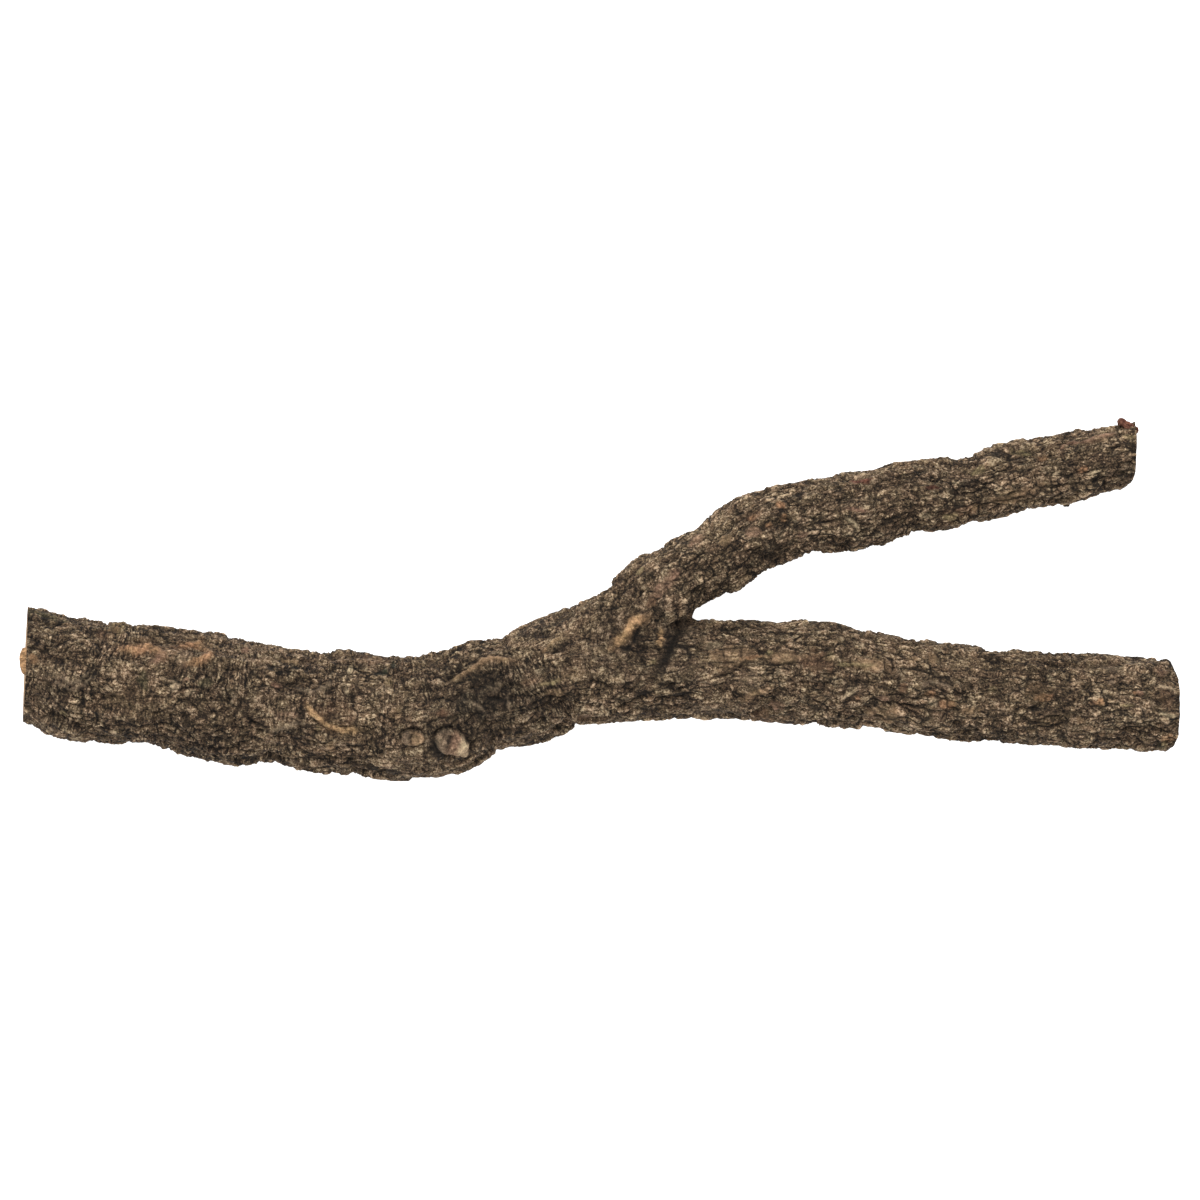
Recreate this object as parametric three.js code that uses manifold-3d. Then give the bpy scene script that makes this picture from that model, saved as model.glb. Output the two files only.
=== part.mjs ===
// A forked cork oak branch, lying on its side as cut: a bent trunk, and the two limbs that leave it at the fork.
// Millimetres, +Z up. +X runs along the branch from the trunk's cut to the limbs' tips, and +Y is the side
// that the upper limb leans to. The origin is under the middle of the branch, on the surface it lies on.

import * as THREE from "three";
import { mergeVertices } from "three/addons/utils/BufferGeometryUtils.js";
import Module from "manifold-3d";

const wasm = await Module();
wasm.setup();

// Driving dimensions of the stems. A station is one cross-section: x and y of its centre in plan, the centre's
// height over the ground, and half its width in plan.
const DEPTH_SHARE = 0.97; // a stem is a little flatter than it is wide
const STEM_STATIONS = [
  { x: -312, y: -31, height: 29.4, half: 30.3 },
  { x: -290.9, y: -34.6, height: 29.5, half: 28.3 },
  { x: -270.2, y: -40.4, height: 30.3, half: 32.7 },
  { x: -249.1, y: -43.9, height: 31, half: 30.8 },
  { x: -228, y: -44.2, height: 31.4, half: 31.7 },
  { x: -208, y: -49, height: 31.6, half: 33.3 },
  { x: -186.9, y: -52.9, height: 31.6, half: 33 },
  { x: -165.9, y: -53.8, height: 31.2, half: 29.6 },
  { x: -145, y: -58, height: 31, half: 31.7 },
  { x: -124.9, y: -58.7, height: 30.8, half: 32.6 },
  { x: -104, y: -61.7, height: 30.6, half: 31.9 },
  { x: -82.7, y: -59.2, height: 30.5, half: 32 },
  { x: -62.6, y: -50, height: 30.6, half: 28.9 },
  { x: -41.6, y: -47.2, height: 30.8, half: 28.9 },
  { x: -21.7, y: -37, height: 31, half: 29 },
  { x: -0.1, y: -36, height: 31, half: 28.3 },
  { x: 21, y: -35.7, height: 30.8, half: 27.2 },
  { x: 52, y: -35.8, height: 30.4, half: 26.2 },
  { x: 73, y: -36, height: 30, half: 26.9 },
  { x: 94, y: -36.7, height: 29.4, half: 26.2 },
  { x: 114.1, y: -37.4, height: 28.8, half: 28.1 },
  { x: 135.1, y: -40.6, height: 28, half: 26.5 },
  { x: 156.1, y: -43.8, height: 27.3, half: 25.3 },
  { x: 176.9, y: -47.8, height: 26.6, half: 25.9 },
  { x: 197.9, y: -50.1, height: 25.8, half: 25.2 },
  { x: 218, y: -50.7, height: 25, half: 25.5 },
  { x: 239, y: -51.8, height: 24.3, half: 24.8 },
  { x: 260, y: -53, height: 23.8, half: 25.3 },
  { x: 276, y: -53.8, height: 23.6, half: 24.9 },
  { x: 291, y: -55.1, height: 23.5, half: 25.1 },
  { x: 312, y: -56, height: 23.5, half: 24 },
];
const LIMB_STATIONS = [
  { x: -22, y: -36, height: 31, half: 24.5 },
  { x: -4, y: -22, height: 32.5, half: 22.5 },
  { x: 14.2, y: -9.3, height: 33.5, half: 20.3 },
  { x: 30.1, y: 4.2, height: 34.2, half: 21.2 },
  { x: 47, y: 14, height: 34.6, half: 19.3 },
  { x: 63.9, y: 22.6, height: 34.6, half: 18.7 },
  { x: 77.7, y: 32.6, height: 34, half: 19.8 },
  { x: 93.5, y: 39.4, height: 33, half: 19.8 },
  { x: 114.1, y: 43.5, height: 31.2, half: 19.6 },
  { x: 135.2, y: 46.6, height: 29.2, half: 20.7 },
  { x: 155.8, y: 52.8, height: 27, half: 19.3 },
  { x: 177.3, y: 54, height: 24.6, half: 19.4 },
  { x: 198.5, y: 58, height: 22.2, half: 17.4 },
  { x: 218, y: 64.3, height: 20, half: 17.7 },
  { x: 238.9, y: 68.4, height: 18, half: 18.4 },
  { x: 259.9, y: 73.4, height: 16.6, half: 18.2 },
  { x: 274, y: 76, height: 16.2, half: 17.2 },
  { x: 294, y: 81, height: 16, half: 16.8 },
];
const STEM_SIDES = 34;
const LIMB_SIDES = 26;
const RING_STEP = 7; // between one ring of points and the next
const TOP_SHARE = 0.3; // how much closer together a ring's points are on top, where the bark shows most

// The bark's relief that shows from a step away: wandering ridges along the stem, lumps, and the thick plates
// that the bark has split into.
const RIDGE_HEIGHT = 1.4; // half the height from a valley to a crest
const RIDGE_LENGTH = 46;
const RIDGE_WIDTH = 11;
const LUMP_HEIGHT = 1.0;
const LUMP_LENGTH = 17;
const LUMP_WIDTH = 13;
const PLATE_HEIGHT = 1.8; // from the floor between two plates to a plate's top
const PLATE_LENGTH = 15;
const PLATE_WIDTH = 9.5;
const PLATE_EDGE = 0.1; // how far the noise runs either side of its middle while a plate's edge rises
const BARK_SETTLE = 1.4; // the stations measure over the crests, so the relief lies this much under them

// Single swellings: the place along the stem or limb, the direction round it (0 is the +Y side, 90 the top),
// the height over the bark, and the half-length along and half-width round, in millimetres.
const STEM_SWELLINGS = [
  { along: 42, round: 182, height: 2.6, length: 22, width: 14 }, // heel of the trunk, beside its cut
  { along: 63, round: 5, height: 1.8, length: 8, width: 12 }, // ledge on the trunk's +Y edge
  { along: 116, round: 184, height: 2.0, length: 14, width: 12 },
  { along: 120, round: 50, height: 2.6, length: 26, width: 6 }, // bare ridge near the trunk's end
  { along: 158, round: 186, height: 1.8, length: 14, width: 12 },
  { along: 218, round: -75, height: 2.4, length: 17, width: 12 }, // belly of the crook
  { along: 228, round: 183, height: 2.0, length: 22, width: 13 }, // outside of the crook
  { along: 234, round: 128, height: 2.6, length: 24, width: 13 }, // the knots' collar
  { along: 391, round: 176, height: -1.4, length: 12, width: 12 }, // hollow before the lower limb's ledge
  { along: 413, round: 178, height: 2.6, length: 12, width: 12 }, // the ledge
  { along: 445, round: 60, height: 1.4, length: 45, width: 7 }, // blocky crest of the lower limb
  { along: 300, round: 210, height: 2.2, length: 20, width: 12 },
  { along: 150, round: 235, height: 1.8, length: 24, width: 10 },
  { along: 520, round: 250, height: -1.2, length: 30, width: 9 },
];
const LIMB_SWELLINGS = [
  { along: 120, round: 2, height: 2.4, length: 22, width: 12 }, // outside of the limb's bend
  { along: 266, round: 4, height: 2.0, length: 17, width: 11 }, // hump near the limb's tip
  { along: 62, round: 60, height: 1.6, length: 30, width: 7 },
  { along: 130, round: 95, height: 1.2, length: 34, width: 6 },
  { along: 230, round: 110, height: -1.0, length: 22, width: 7 },
  { along: 190, round: 255, height: 1.4, length: 26, width: 7 },
];

// Healed knots on the crook: the middle of each, half its length and width, its height, and the way that it
// faces and lies in plan.
const KNOTS = [
  { at: [-76.5, -73, 56.2], long: 9.4, wide: 6.8, height: 4.2, tilt: 31, turn: 14 },
  { at: [-96.5, -71, 60.0], long: 6.6, wide: 4.5, height: 3.4, tilt: 20, turn: 4 },
];
const KNOT_SIDES = 14;

// The loose bark flake on the upper limb's tip, and the splinter left standing on the trunk's saw cut.
const FLAKE = { at: [273.4, 91.4, 20], length: 11, width: 8, thick: 3.2, turn: -33 };
const SPLINTER = { at: [-296.6, -33, 43], proud: 3.0, root: 6, width: 11.5, thick: 5 };

// Saw cuts and fork, in plan. The two limbs part from the trunk at the crotch.
const CROTCH = new THREE.Vector2(50, -7.6);
const UPPER_LIMB_HEADING = THREE.MathUtils.degToRad(35);
const LOWER_LIMB_HEADING = THREE.MathUtils.degToRad(0);
const BISECTOR_HEADING = THREE.MathUtils.degToRad(6);
const TRUNK_CUT = [new THREE.Vector2(-297.4, -4), new THREE.Vector2(-300.1, -66)];
const TRUNK_CUT_HEIGHT = 29.5; // where the trunk's cut has that line in plan
const TRUNK_CUT_LEAN = 0.13; // how far its top leans in, for each millimetre up
const UPPER_CUT = [new THREE.Vector2(279.2, 92), new THREE.Vector2(278.0, 58)];
const LOWER_CUT = [new THREE.Vector2(299.6, -30), new THREE.Vector2(299.6, -80)];
const GAP = 0.3; // clearance between a limb and the trunk it grew from
const REACH = 300; // past the outline, for the prisms that part the branch
const TALL = 200;

const BARK = new THREE.MeshStandardMaterial({ color: 0x56483b, roughness: 0.95, metalness: 0 });

// Value noise: random heights on a lattice, joined smoothly. The same place always gives the same height.
const fraction = (v) => v - Math.floor(v);
const latticeHeight = (i, j, k) => fraction(Math.sin(i * 12.9898 + j * 78.233 + k * 37.719) * 43758.5453);
const ease = (t) => t * t * (3 - 2 * t);
const between = THREE.MathUtils.lerp;

function smoothNoise(x, y, z) {
  const [i, j, k] = [x, y, z].map(Math.floor);
  const [u, v, w] = [ease(x - i), ease(y - j), ease(z - k)];
  const layer = (dk) => between(
    between(latticeHeight(i, j, k + dk), latticeHeight(i + 1, j, k + dk), u),
    between(latticeHeight(i, j + 1, k + dk), latticeHeight(i + 1, j + 1, k + dk), u),
    v,
  );
  return between(layer(0), layer(1), w);
}

// Height of the bark over a stem's smooth form, at a distance along it and a direction round it.
function barkRelief(along, angle, radius, swellings) {
  const across = radius * Math.cos(angle);
  const up = radius * Math.sin(angle);
  const ridge = smoothNoise(along / RIDGE_LENGTH + 7, across / RIDGE_WIDTH + 31, up / RIDGE_WIDTH + 17);
  const lump = smoothNoise(along / LUMP_LENGTH + 3, across / LUMP_WIDTH + 53, up / LUMP_WIDTH + 11);
  const plate = smoothNoise(along / PLATE_LENGTH + 13, across / PLATE_WIDTH + 41, up / PLATE_WIDTH + 23);
  let height = RIDGE_HEIGHT * (1 - Math.abs(4 * ridge - 2)) + LUMP_HEIGHT * (2 * lump - 1) - BARK_SETTLE;
  height += PLATE_HEIGHT * (THREE.MathUtils.smoothstep(plate, 0.5 - PLATE_EDGE, 0.5 + PLATE_EDGE) - 0.5);
  for (const swelling of swellings) {
    const turn = angle - THREE.MathUtils.degToRad(swelling.round);
    const away = radius * Math.atan2(Math.sin(turn), Math.cos(turn));
    const distance = ((along - swelling.along) / swelling.length) ** 2 + (away / swelling.width) ** 2;
    height += swelling.height * Math.exp(-distance);
  }
  return height;
}

// A three.js geometry as a manifold solid, and back.
function toSolid(geometry) {
  const bare = geometry.clone();
  bare.deleteAttribute("normal");
  bare.deleteAttribute("uv");
  const merged = mergeVertices(bare, 1e-4);
  return new wasm.Manifold(new wasm.Mesh({
    numProp: 3,
    vertProperties: Float32Array.from(merged.attributes.position.array),
    triVerts: Uint32Array.from(merged.index.array),
  }));
}

function toGeometry(solid) {
  const mesh = solid.getMesh();
  const geometry = new THREE.BufferGeometry();
  geometry.setAttribute("position", new THREE.BufferAttribute(mesh.vertProperties, mesh.numProp));
  geometry.setIndex(new THREE.BufferAttribute(mesh.triVerts, 1));
  geometry.computeVertexNormals();
  return geometry;
}

// A stem: a unit cylinder whose rings are set on the stations' centre line, sized, and given the bark's relief.
function stemSolid(stations, sides, swellings) {
  const centres = stations.map((s) => new THREE.Vector3(s.x, s.y, s.height));
  const line = new THREE.CatmullRomCurve3(centres, false, "catmullrom");
  const girths = stations.map((s) => new THREE.Vector3(s.half, 0, 0));
  const girth = new THREE.CatmullRomCurve3(girths, false, "catmullrom");
  const length = line.getLength();
  const rings = Math.round(length / RING_STEP);
  const tube = new THREE.CylinderGeometry(1, 1, 1, sides, rings);
  const points = tube.attributes.position;
  const point = new THREE.Vector3();
  for (let index = 0; index < points.count; index += 1) {
    point.fromBufferAttribute(points, index);
    const share = THREE.MathUtils.clamp(point.y + 0.5, 0, 1);
    const t = line.getUtoTmapping(share);
    const centre = line.getPoint(t);
    const tangent = line.getTangent(t);
    const side = new THREE.Vector3(0, 0, 1).cross(tangent).normalize();
    const up = new THREE.Vector3().crossVectors(tangent, side);
    const half = girth.getPoint(t).x;
    const turn = Math.atan2(point.z, -point.x);
    const angle = turn + TOP_SHARE * Math.cos(turn);
    const onAxis = Math.hypot(point.x, point.z) < 0.5;
    const relief = onAxis ? 0 : barkRelief(share * length, angle, half, swellings);
    const reach = onAxis ? 0 : half + relief;
    centre.addScaledVector(side, reach * Math.cos(angle));
    centre.addScaledVector(up, reach * DEPTH_SHARE * Math.sin(angle));
    points.setXYZ(index, centre.x, centre.y, Math.max(centre.z, 0)); // worn flat where it lies
  }
  return toSolid(tube);
}

// A healed knot: a low dome with a rolled rim round a sunken middle, standing in the bark.
function knotSolid({ at, long, wide, height, tilt, turn }) {
  const profile = new THREE.SplineCurve([
    new THREE.Vector2(0, 0.72),
    new THREE.Vector2(0.35, 0.78),
    new THREE.Vector2(0.66, 1),
    new THREE.Vector2(0.9, 0.7),
    new THREE.Vector2(1, 0),
  ]).getPoints(7);
  const outline = [new THREE.Vector2(0, -1), new THREE.Vector2(0.9, -1), ...profile.reverse()];
  outline[outline.length - 1].x = 0;
  const dome = new THREE.LatheGeometry(outline, KNOT_SIDES);
  dome.rotateX(Math.PI / 2); // the lathe's axis turns from +Y to +Z
  dome.scale(long, wide, height);
  dome.rotateZ(THREE.MathUtils.degToRad(turn));
  dome.rotateX(THREE.MathUtils.degToRad(tilt)); // leans towards -Y
  dome.translate(...at);
  return toSolid(dome);
}

// A bark flake: a thin slab with a ragged outline, tipped up at one end.
function flakeSolid({ at, length, width, thick, turn }) {
  const ragged = [[-0.5, -0.2], [-0.36, -0.5], [0.1, -0.42], [0.5, -0.3], [0.44, 0.2], [0.08, 0.5], [-0.4, 0.34]];
  const outline = new THREE.Shape(ragged.map(([x, y]) => new THREE.Vector2(x * length, y * width)));
  const slab = new THREE.ExtrudeGeometry(outline, { depth: thick, bevelEnabled: false });
  slab.translate(0, 0, -thick / 2);
  slab.rotateX(Math.PI / 2);
  slab.rotateZ(THREE.MathUtils.degToRad(turn));
  slab.translate(...at);
  return toSolid(slab);
}

// The splinter on the trunk's cut: a short wedge that thins towards its tip.
function splinterSolid({ at, proud, root, width, thick }) {
  const outline = new THREE.Shape([
    new THREE.Vector2(root, -width / 2),
    new THREE.Vector2(root, width / 2),
    new THREE.Vector2(-proud * 0.4, width / 2),
    new THREE.Vector2(-proud, -width * 0.1),
    new THREE.Vector2(-proud, -width / 2),
  ]);
  const wedge = new THREE.ExtrudeGeometry(outline, { depth: thick, bevelEnabled: false });
  wedge.translate(...at);
  return toSolid(wedge);
}

// A tall prism over an outline in plan.
function prism(outline) {
  const block = new THREE.ExtrudeGeometry(new THREE.Shape(outline), { depth: 2 * TALL, bevelEnabled: false });
  block.translate(0, 0, -TALL);
  return toSolid(block);
}

// The three prisms that part the branch, each cut square to its own limb, and drawn back from the crotch.
const heading = (angle) => new THREE.Vector2(Math.cos(angle), Math.sin(angle));
const leftOf = (angle) => heading(angle + Math.PI / 2);
const step = (from, direction, distance) => from.clone().addScaledVector(direction, distance);
const beyond = ([a, b], far) => step(b, b.clone().sub(a).normalize(), far);

function partingPrisms() {
  const upward = leftOf(UPPER_LIMB_HEADING);
  const downward = leftOf(LOWER_LIMB_HEADING).negate();
  const outward = heading(BISECTOR_HEADING);
  const trunkCorner = step(CROTCH, heading((UPPER_LIMB_HEADING + LOWER_LIMB_HEADING) / 2), -GAP);
  const upperCorner = step(CROTCH, leftOf(BISECTOR_HEADING), GAP / 2);
  const lowerCorner = step(CROTCH, leftOf(BISECTOR_HEADING), -GAP / 2);
  const [upperTop, upperFoot] = [beyond([...UPPER_CUT].reverse(), REACH), UPPER_CUT[1]];
  const [lowerTop, lowerFoot] = [LOWER_CUT[0], beyond(LOWER_CUT, REACH)];
  return {
    trunk: prism([
      trunkCorner,
      step(trunkCorner, upward, REACH),
      new THREE.Vector2(trunkCorner.x - 2 * REACH, REACH),
      new THREE.Vector2(trunkCorner.x - 2 * REACH, -REACH),
      step(trunkCorner, downward, REACH),
    ]),
    upper: prism([
      upperCorner,
      step(upperCorner, outward, upperFoot.x - upperCorner.x),
      upperFoot,
      upperTop,
      step(upperCorner, upward, REACH),
    ]),
    lower: prism([
      lowerCorner,
      step(lowerCorner, downward, REACH),
      lowerFoot,
      lowerTop,
      step(lowerCorner, outward, lowerTop.x - lowerCorner.x),
    ]),
  };
}

// Takes away what lies past the trunk's saw cut.
function sawnTrunk(solid) {
  const along = TRUNK_CUT[0].clone().sub(TRUNK_CUT[1]).normalize();
  const inward = new THREE.Vector3(along.y, -along.x, -TRUNK_CUT_LEAN).normalize();
  const onCut = new THREE.Vector3(TRUNK_CUT[0].x, TRUNK_CUT[0].y, TRUNK_CUT_HEIGHT);
  return solid.trimByPlane(inward.toArray(), onCut.dot(inward));
}

const stem = stemSolid(STEM_STATIONS, STEM_SIDES, STEM_SWELLINGS);
const limb = stemSolid(LIMB_STATIONS, LIMB_SIDES, LIMB_SWELLINGS);
const branch = KNOTS.map(knotSolid).reduce((whole, knot) => whole.add(knot), stem.add(limb));
const parting = partingPrisms();

const pieces = {
  trunk: sawnTrunk(branch.intersect(parting.trunk)).add(splinterSolid(SPLINTER)),
  upper_limb: branch.intersect(parting.upper).add(flakeSolid(FLAKE)),
  lower_limb: branch.intersect(parting.lower),
};

const group = new THREE.Group();
for (const [name, solid] of Object.entries(pieces)) {
  const mesh = new THREE.Mesh(toGeometry(solid), BARK.clone());
  mesh.name = name;
  group.add(mesh);
}

// The branch is set with the middle of its plan over the origin and its underside on the ground.
group.updateMatrixWorld(true);
const bounds = new THREE.Box3().setFromObject(group, true);
const middle = bounds.getCenter(new THREE.Vector3());
group.position.set(-middle.x, -middle.y, -bounds.min.z);

export default group;
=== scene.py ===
"""A forked cork branch in its rough bark, lying as it was cut on a pale floor, and seen from straight above.

Sizes are in millimetres, in the plan of the branch's stations: +X along the branch from the trunk's cut,
+Y to the side that the upper limb leans to, +Z up. A finished piece is in metres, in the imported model's
frame.
"""

import logging
import math
from dataclasses import dataclass
from enum import Enum
from functools import cached_property, partial

import bmesh
import bpy
import numpy as np
from mathutils import Matrix, Vector


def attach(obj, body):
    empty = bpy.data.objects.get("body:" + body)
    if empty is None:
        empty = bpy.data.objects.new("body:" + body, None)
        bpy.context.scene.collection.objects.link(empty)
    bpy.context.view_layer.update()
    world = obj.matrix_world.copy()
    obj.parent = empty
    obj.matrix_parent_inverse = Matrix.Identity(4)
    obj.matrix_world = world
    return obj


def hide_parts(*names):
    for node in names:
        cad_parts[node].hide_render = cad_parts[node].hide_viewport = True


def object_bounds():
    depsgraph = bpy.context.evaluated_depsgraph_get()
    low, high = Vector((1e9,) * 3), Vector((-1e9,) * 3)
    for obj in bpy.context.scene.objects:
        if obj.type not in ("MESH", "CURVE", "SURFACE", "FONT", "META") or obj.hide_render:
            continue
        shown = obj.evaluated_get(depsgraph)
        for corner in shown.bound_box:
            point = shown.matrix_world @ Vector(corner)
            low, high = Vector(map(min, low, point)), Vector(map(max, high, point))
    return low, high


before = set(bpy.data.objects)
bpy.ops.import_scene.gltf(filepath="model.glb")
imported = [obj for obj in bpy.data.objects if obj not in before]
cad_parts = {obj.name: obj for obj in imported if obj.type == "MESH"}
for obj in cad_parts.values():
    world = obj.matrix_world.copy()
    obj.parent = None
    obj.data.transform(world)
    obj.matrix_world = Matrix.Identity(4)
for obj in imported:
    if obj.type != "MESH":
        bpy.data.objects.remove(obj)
SOLID_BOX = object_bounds()

log = logging.getLogger("cork_branch")
Array = np.ndarray
Colour = tuple[float, float, float]
Steps = tuple[float, float, float]
Socket = bpy.types.NodeSocket

MM = 0.001
PLAN_SHIFT = Vector((1.3817, -0.6827, 0.0))  # from the stations' plan to the middle of the branch
EYE_HEIGHT = 2600.0  # of the camera over the branch's middle height
MIDDLE_HEIGHT = 28.0
FRAME_WIDTH = 624.0  # what the picture takes in at the branch's middle height
DEPTH_SHARE = 0.97  # a stem is a little flatter than it is wide


@dataclass(frozen=True)
class Station:
    """One cross-section of a stem: its centre in plan, the centre's height, and half its width in plan."""

    x: float
    y: float
    height: float
    half: float


@dataclass(frozen=True)
class Swelling:
    """A lump or a hollow: how far along its stem, in which direction round it, and its sizes.

    The direction is in degrees: 0 is the side to +Y, 90 the top.
    """

    along: float
    round: float
    height: float
    length: float
    width: float


STEM_STATIONS = (
    Station(-312, -31, 29.4, 30.3),
    Station(-290.9, -34.6, 29.5, 28.3),
    Station(-270.2, -40.4, 30.3, 32.7),
    Station(-249.1, -43.9, 31, 30.8),
    Station(-228, -44.2, 31.4, 31.7),
    Station(-208, -49, 31.6, 33.3),
    Station(-186.9, -52.9, 31.6, 33),
    Station(-165.9, -53.8, 31.2, 29.6),
    Station(-145, -58, 31, 31.7),
    Station(-124.9, -58.7, 30.8, 32.6),
    Station(-104, -61.7, 30.6, 31.9),
    Station(-82.7, -59.2, 30.5, 32),
    Station(-62.6, -50, 30.6, 28.9),
    Station(-41.6, -47.2, 30.8, 28.9),
    Station(-21.7, -37, 31, 29),
    Station(-0.1, -36, 31, 28.3),
    Station(21, -35.7, 30.8, 27.2),
    Station(52, -35.8, 30.4, 26.2),
    Station(73, -36, 30, 26.9),
    Station(94, -36.7, 29.4, 26.2),
    Station(114.1, -37.4, 28.8, 28.1),
    Station(135.1, -40.6, 28, 26.5),
    Station(156.1, -43.8, 27.3, 25.3),
    Station(176.9, -47.8, 26.6, 25.9),
    Station(197.9, -50.1, 25.8, 25.2),
    Station(218, -50.7, 25, 25.5),
    Station(239, -51.8, 24.3, 24.8),
    Station(260, -53, 23.8, 25.3),
    Station(276, -53.8, 23.6, 24.9),
    Station(291, -55.1, 23.5, 25.1),
    Station(312, -56, 23.5, 24),
)
LIMB_STATIONS = (
    Station(-22, -36, 31, 24.5),
    Station(-4, -22, 32.5, 22.5),
    Station(14.2, -9.3, 33.5, 20.3),
    Station(30.1, 4.2, 34.2, 21.2),
    Station(47, 14, 34.6, 19.3),
    Station(63.9, 22.6, 34.6, 18.7),
    Station(77.7, 32.6, 34, 19.8),
    Station(93.5, 39.4, 33, 19.8),
    Station(114.1, 43.5, 31.2, 19.6),
    Station(135.2, 46.6, 29.2, 20.7),
    Station(155.8, 52.8, 27, 19.3),
    Station(177.3, 54, 24.6, 19.4),
    Station(198.5, 58, 22.2, 17.4),
    Station(218, 64.3, 20, 17.7),
    Station(238.9, 68.4, 18, 18.4),
    Station(259.9, 73.4, 16.6, 18.2),
    Station(274, 76, 16.2, 17.2),
    Station(294, 81, 16, 16.8),
)
STEM_SWELLINGS = (
    Swelling(42, 182, 2.6, 22, 14),
    Swelling(63, 5, 1.8, 8, 12),
    Swelling(116, 184, 2, 14, 12),
    Swelling(120, 50, 2.6, 26, 6),
    Swelling(158, 186, 1.8, 14, 12),
    Swelling(218, -75, 2.4, 17, 12),
    Swelling(228, 183, 2, 22, 13),
    Swelling(234, 128, 2.6, 24, 13),
    Swelling(391, 176, -1.4, 12, 12),
    Swelling(413, 178, 2.6, 12, 12),
    Swelling(445, 60, 1.4, 45, 7),
    Swelling(300, 210, 2.2, 20, 12),
    Swelling(150, 235, 1.8, 24, 10),
    Swelling(520, 250, -1.2, 30, 9),
)
LIMB_SWELLINGS = (
    Swelling(120, 2, 2.4, 22, 12),
    Swelling(266, 4, 2, 17, 11),
    Swelling(62, 60, 1.6, 30, 7),
    Swelling(130, 95, 1.2, 34, 6),
    Swelling(230, 110, -1, 22, 7),
    Swelling(190, 255, 1.4, 26, 7),
)

TRUNK_CUT = (Vector((-297.4, -4.0, 29.5)), Vector((-300.1, -66.0, 29.5)))
TRUNK_CUT_LEAN = 0.13  # how far the top of the trunk's cut leans in, for each millimetre up
UPPER_CUT = (Vector((278.0, 58.0, 0.0)), Vector((279.2, 92.0, 0.0)))
LOWER_CUT = (Vector((299.6, -80.0, 0.0)), Vector((299.6, -30.0, 0.0)))
CROTCH = Vector((50.0, -7.6, 0.0))
UPPER_LIMB_HEADING = 35.0
LOWER_LIMB_HEADING = 0.0
BISECTOR_HEADING = 6.0


# Noise over whole arrays of places. A place is in steps of the noise's own lattice.
def lattice_value(i: Array, j: Array, k: Array, seed: int) -> Array:
    """Gives a fixed random value to each place of a lattice.

    Args:
        i: Whole-number places along the first axis.
        j: Whole-number places along the second axis.
        k: Whole-number places along the third axis.
        seed: Chooses one of many unlike lattices.

    Returns:
        Values from 0 to 1, one for each place.
    """
    mixed = (i * 374761393 + j * 668265263 + k * 2147483629 + seed * 1274126177) & 0xFFFFFFFF
    mixed = ((mixed ^ (mixed >> 13)) * 1274126177) & 0xFFFFFFFF
    mixed = ((mixed ^ (mixed >> 15)) * 2246822519) & 0xFFFFFFFF
    return ((mixed ^ (mixed >> 16)) & 0xFFFFFF) / float(0xFFFFFF)


def smooth_noise(places: Array, seed: int) -> Array:
    """Random values on a lattice, joined smoothly.

    Args:
        places: One row of three numbers for each place.
        seed: Chooses one of many unlike noises.

    Returns:
        Values from 0 to 1.
    """
    floor = np.floor(places)
    share = places - floor
    share = share * share * share * (share * (share * 6 - 15) + 10)
    i, j, k = floor.astype(np.int64).T
    u, v, w = share.T
    total = np.zeros(len(places))
    for di in (0, 1):
        for dj in (0, 1):
            for dk in (0, 1):
                weight = (u if di else 1 - u) * (v if dj else 1 - v) * (w if dk else 1 - w)
                total += weight * lattice_value(i + di, j + dj, k + dk, seed)
    return total


def layered_noise(places: Array, seed: int, layers: int = 3, keep: float = 0.5) -> Array:
    """Smooth noise with finer and weaker layers on it.

    Args:
        places: One row of three numbers for each place.
        seed: Chooses one of many unlike noises.
        layers: How many layers there are.
        keep: The strength of each layer, as a share of the one before.

    Returns:
        Values from 0 to 1.
    """
    total = np.zeros(len(places))
    strength, sum_of_strengths, pitch = 1.0, 0.0, 1.0
    for layer in range(layers):
        total += strength * smooth_noise(places * pitch, seed + 101 * layer)
        sum_of_strengths += strength
        strength *= keep
        pitch *= 2.03
    return total / sum_of_strengths


def cell_pattern(places: Array, seed: int) -> tuple[Array, Array]:
    """Cells round scattered points, such as the plates between a bark's cracks.

    Args:
        places: One row of three numbers for each place.
        seed: Chooses one of many unlike patterns.

    Returns:
        How far each place is from its cell's edge, and a random value for its cell.
    """
    floor = np.floor(places).astype(np.int64)
    nearest = np.full(len(places), 9.0)
    second = np.full(len(places), 9.0)
    value = np.zeros(len(places))
    for di in (-1, 0, 1):
        for dj in (-1, 0, 1):
            for dk in (-1, 0, 1):
                i, j, k = (floor + (di, dj, dk)).T
                distance = np.zeros(len(places))
                for axis, lattice in enumerate((i, j, k)):
                    spot = lattice + 0.1 + 0.8 * lattice_value(i, j, k, seed + 7 * axis)
                    distance += (places[:, axis] - spot) ** 2
                distance = np.sqrt(distance)
                closer = distance < nearest
                second = np.where(closer, nearest, np.minimum(second, distance))
                value = np.where(closer, lattice_value(i, j, k, seed + 31), value)
                nearest = np.where(closer, distance, nearest)
    return second - nearest, value


def ramp(low: float, high: float, value: Array) -> Array:
    """Rises smoothly from 0 where the value is low to 1 where it is high."""
    share = np.clip((value - low) / (high - low), 0.0, 1.0)
    return share * share * (3 - 2 * share)


def bell(value: Array, middle: float, width: float) -> Array:
    """Rises smoothly to 1 where the value is near the middle, and falls to 0 away from it."""
    return np.exp(-(((value - middle) / width) ** 2))


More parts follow.
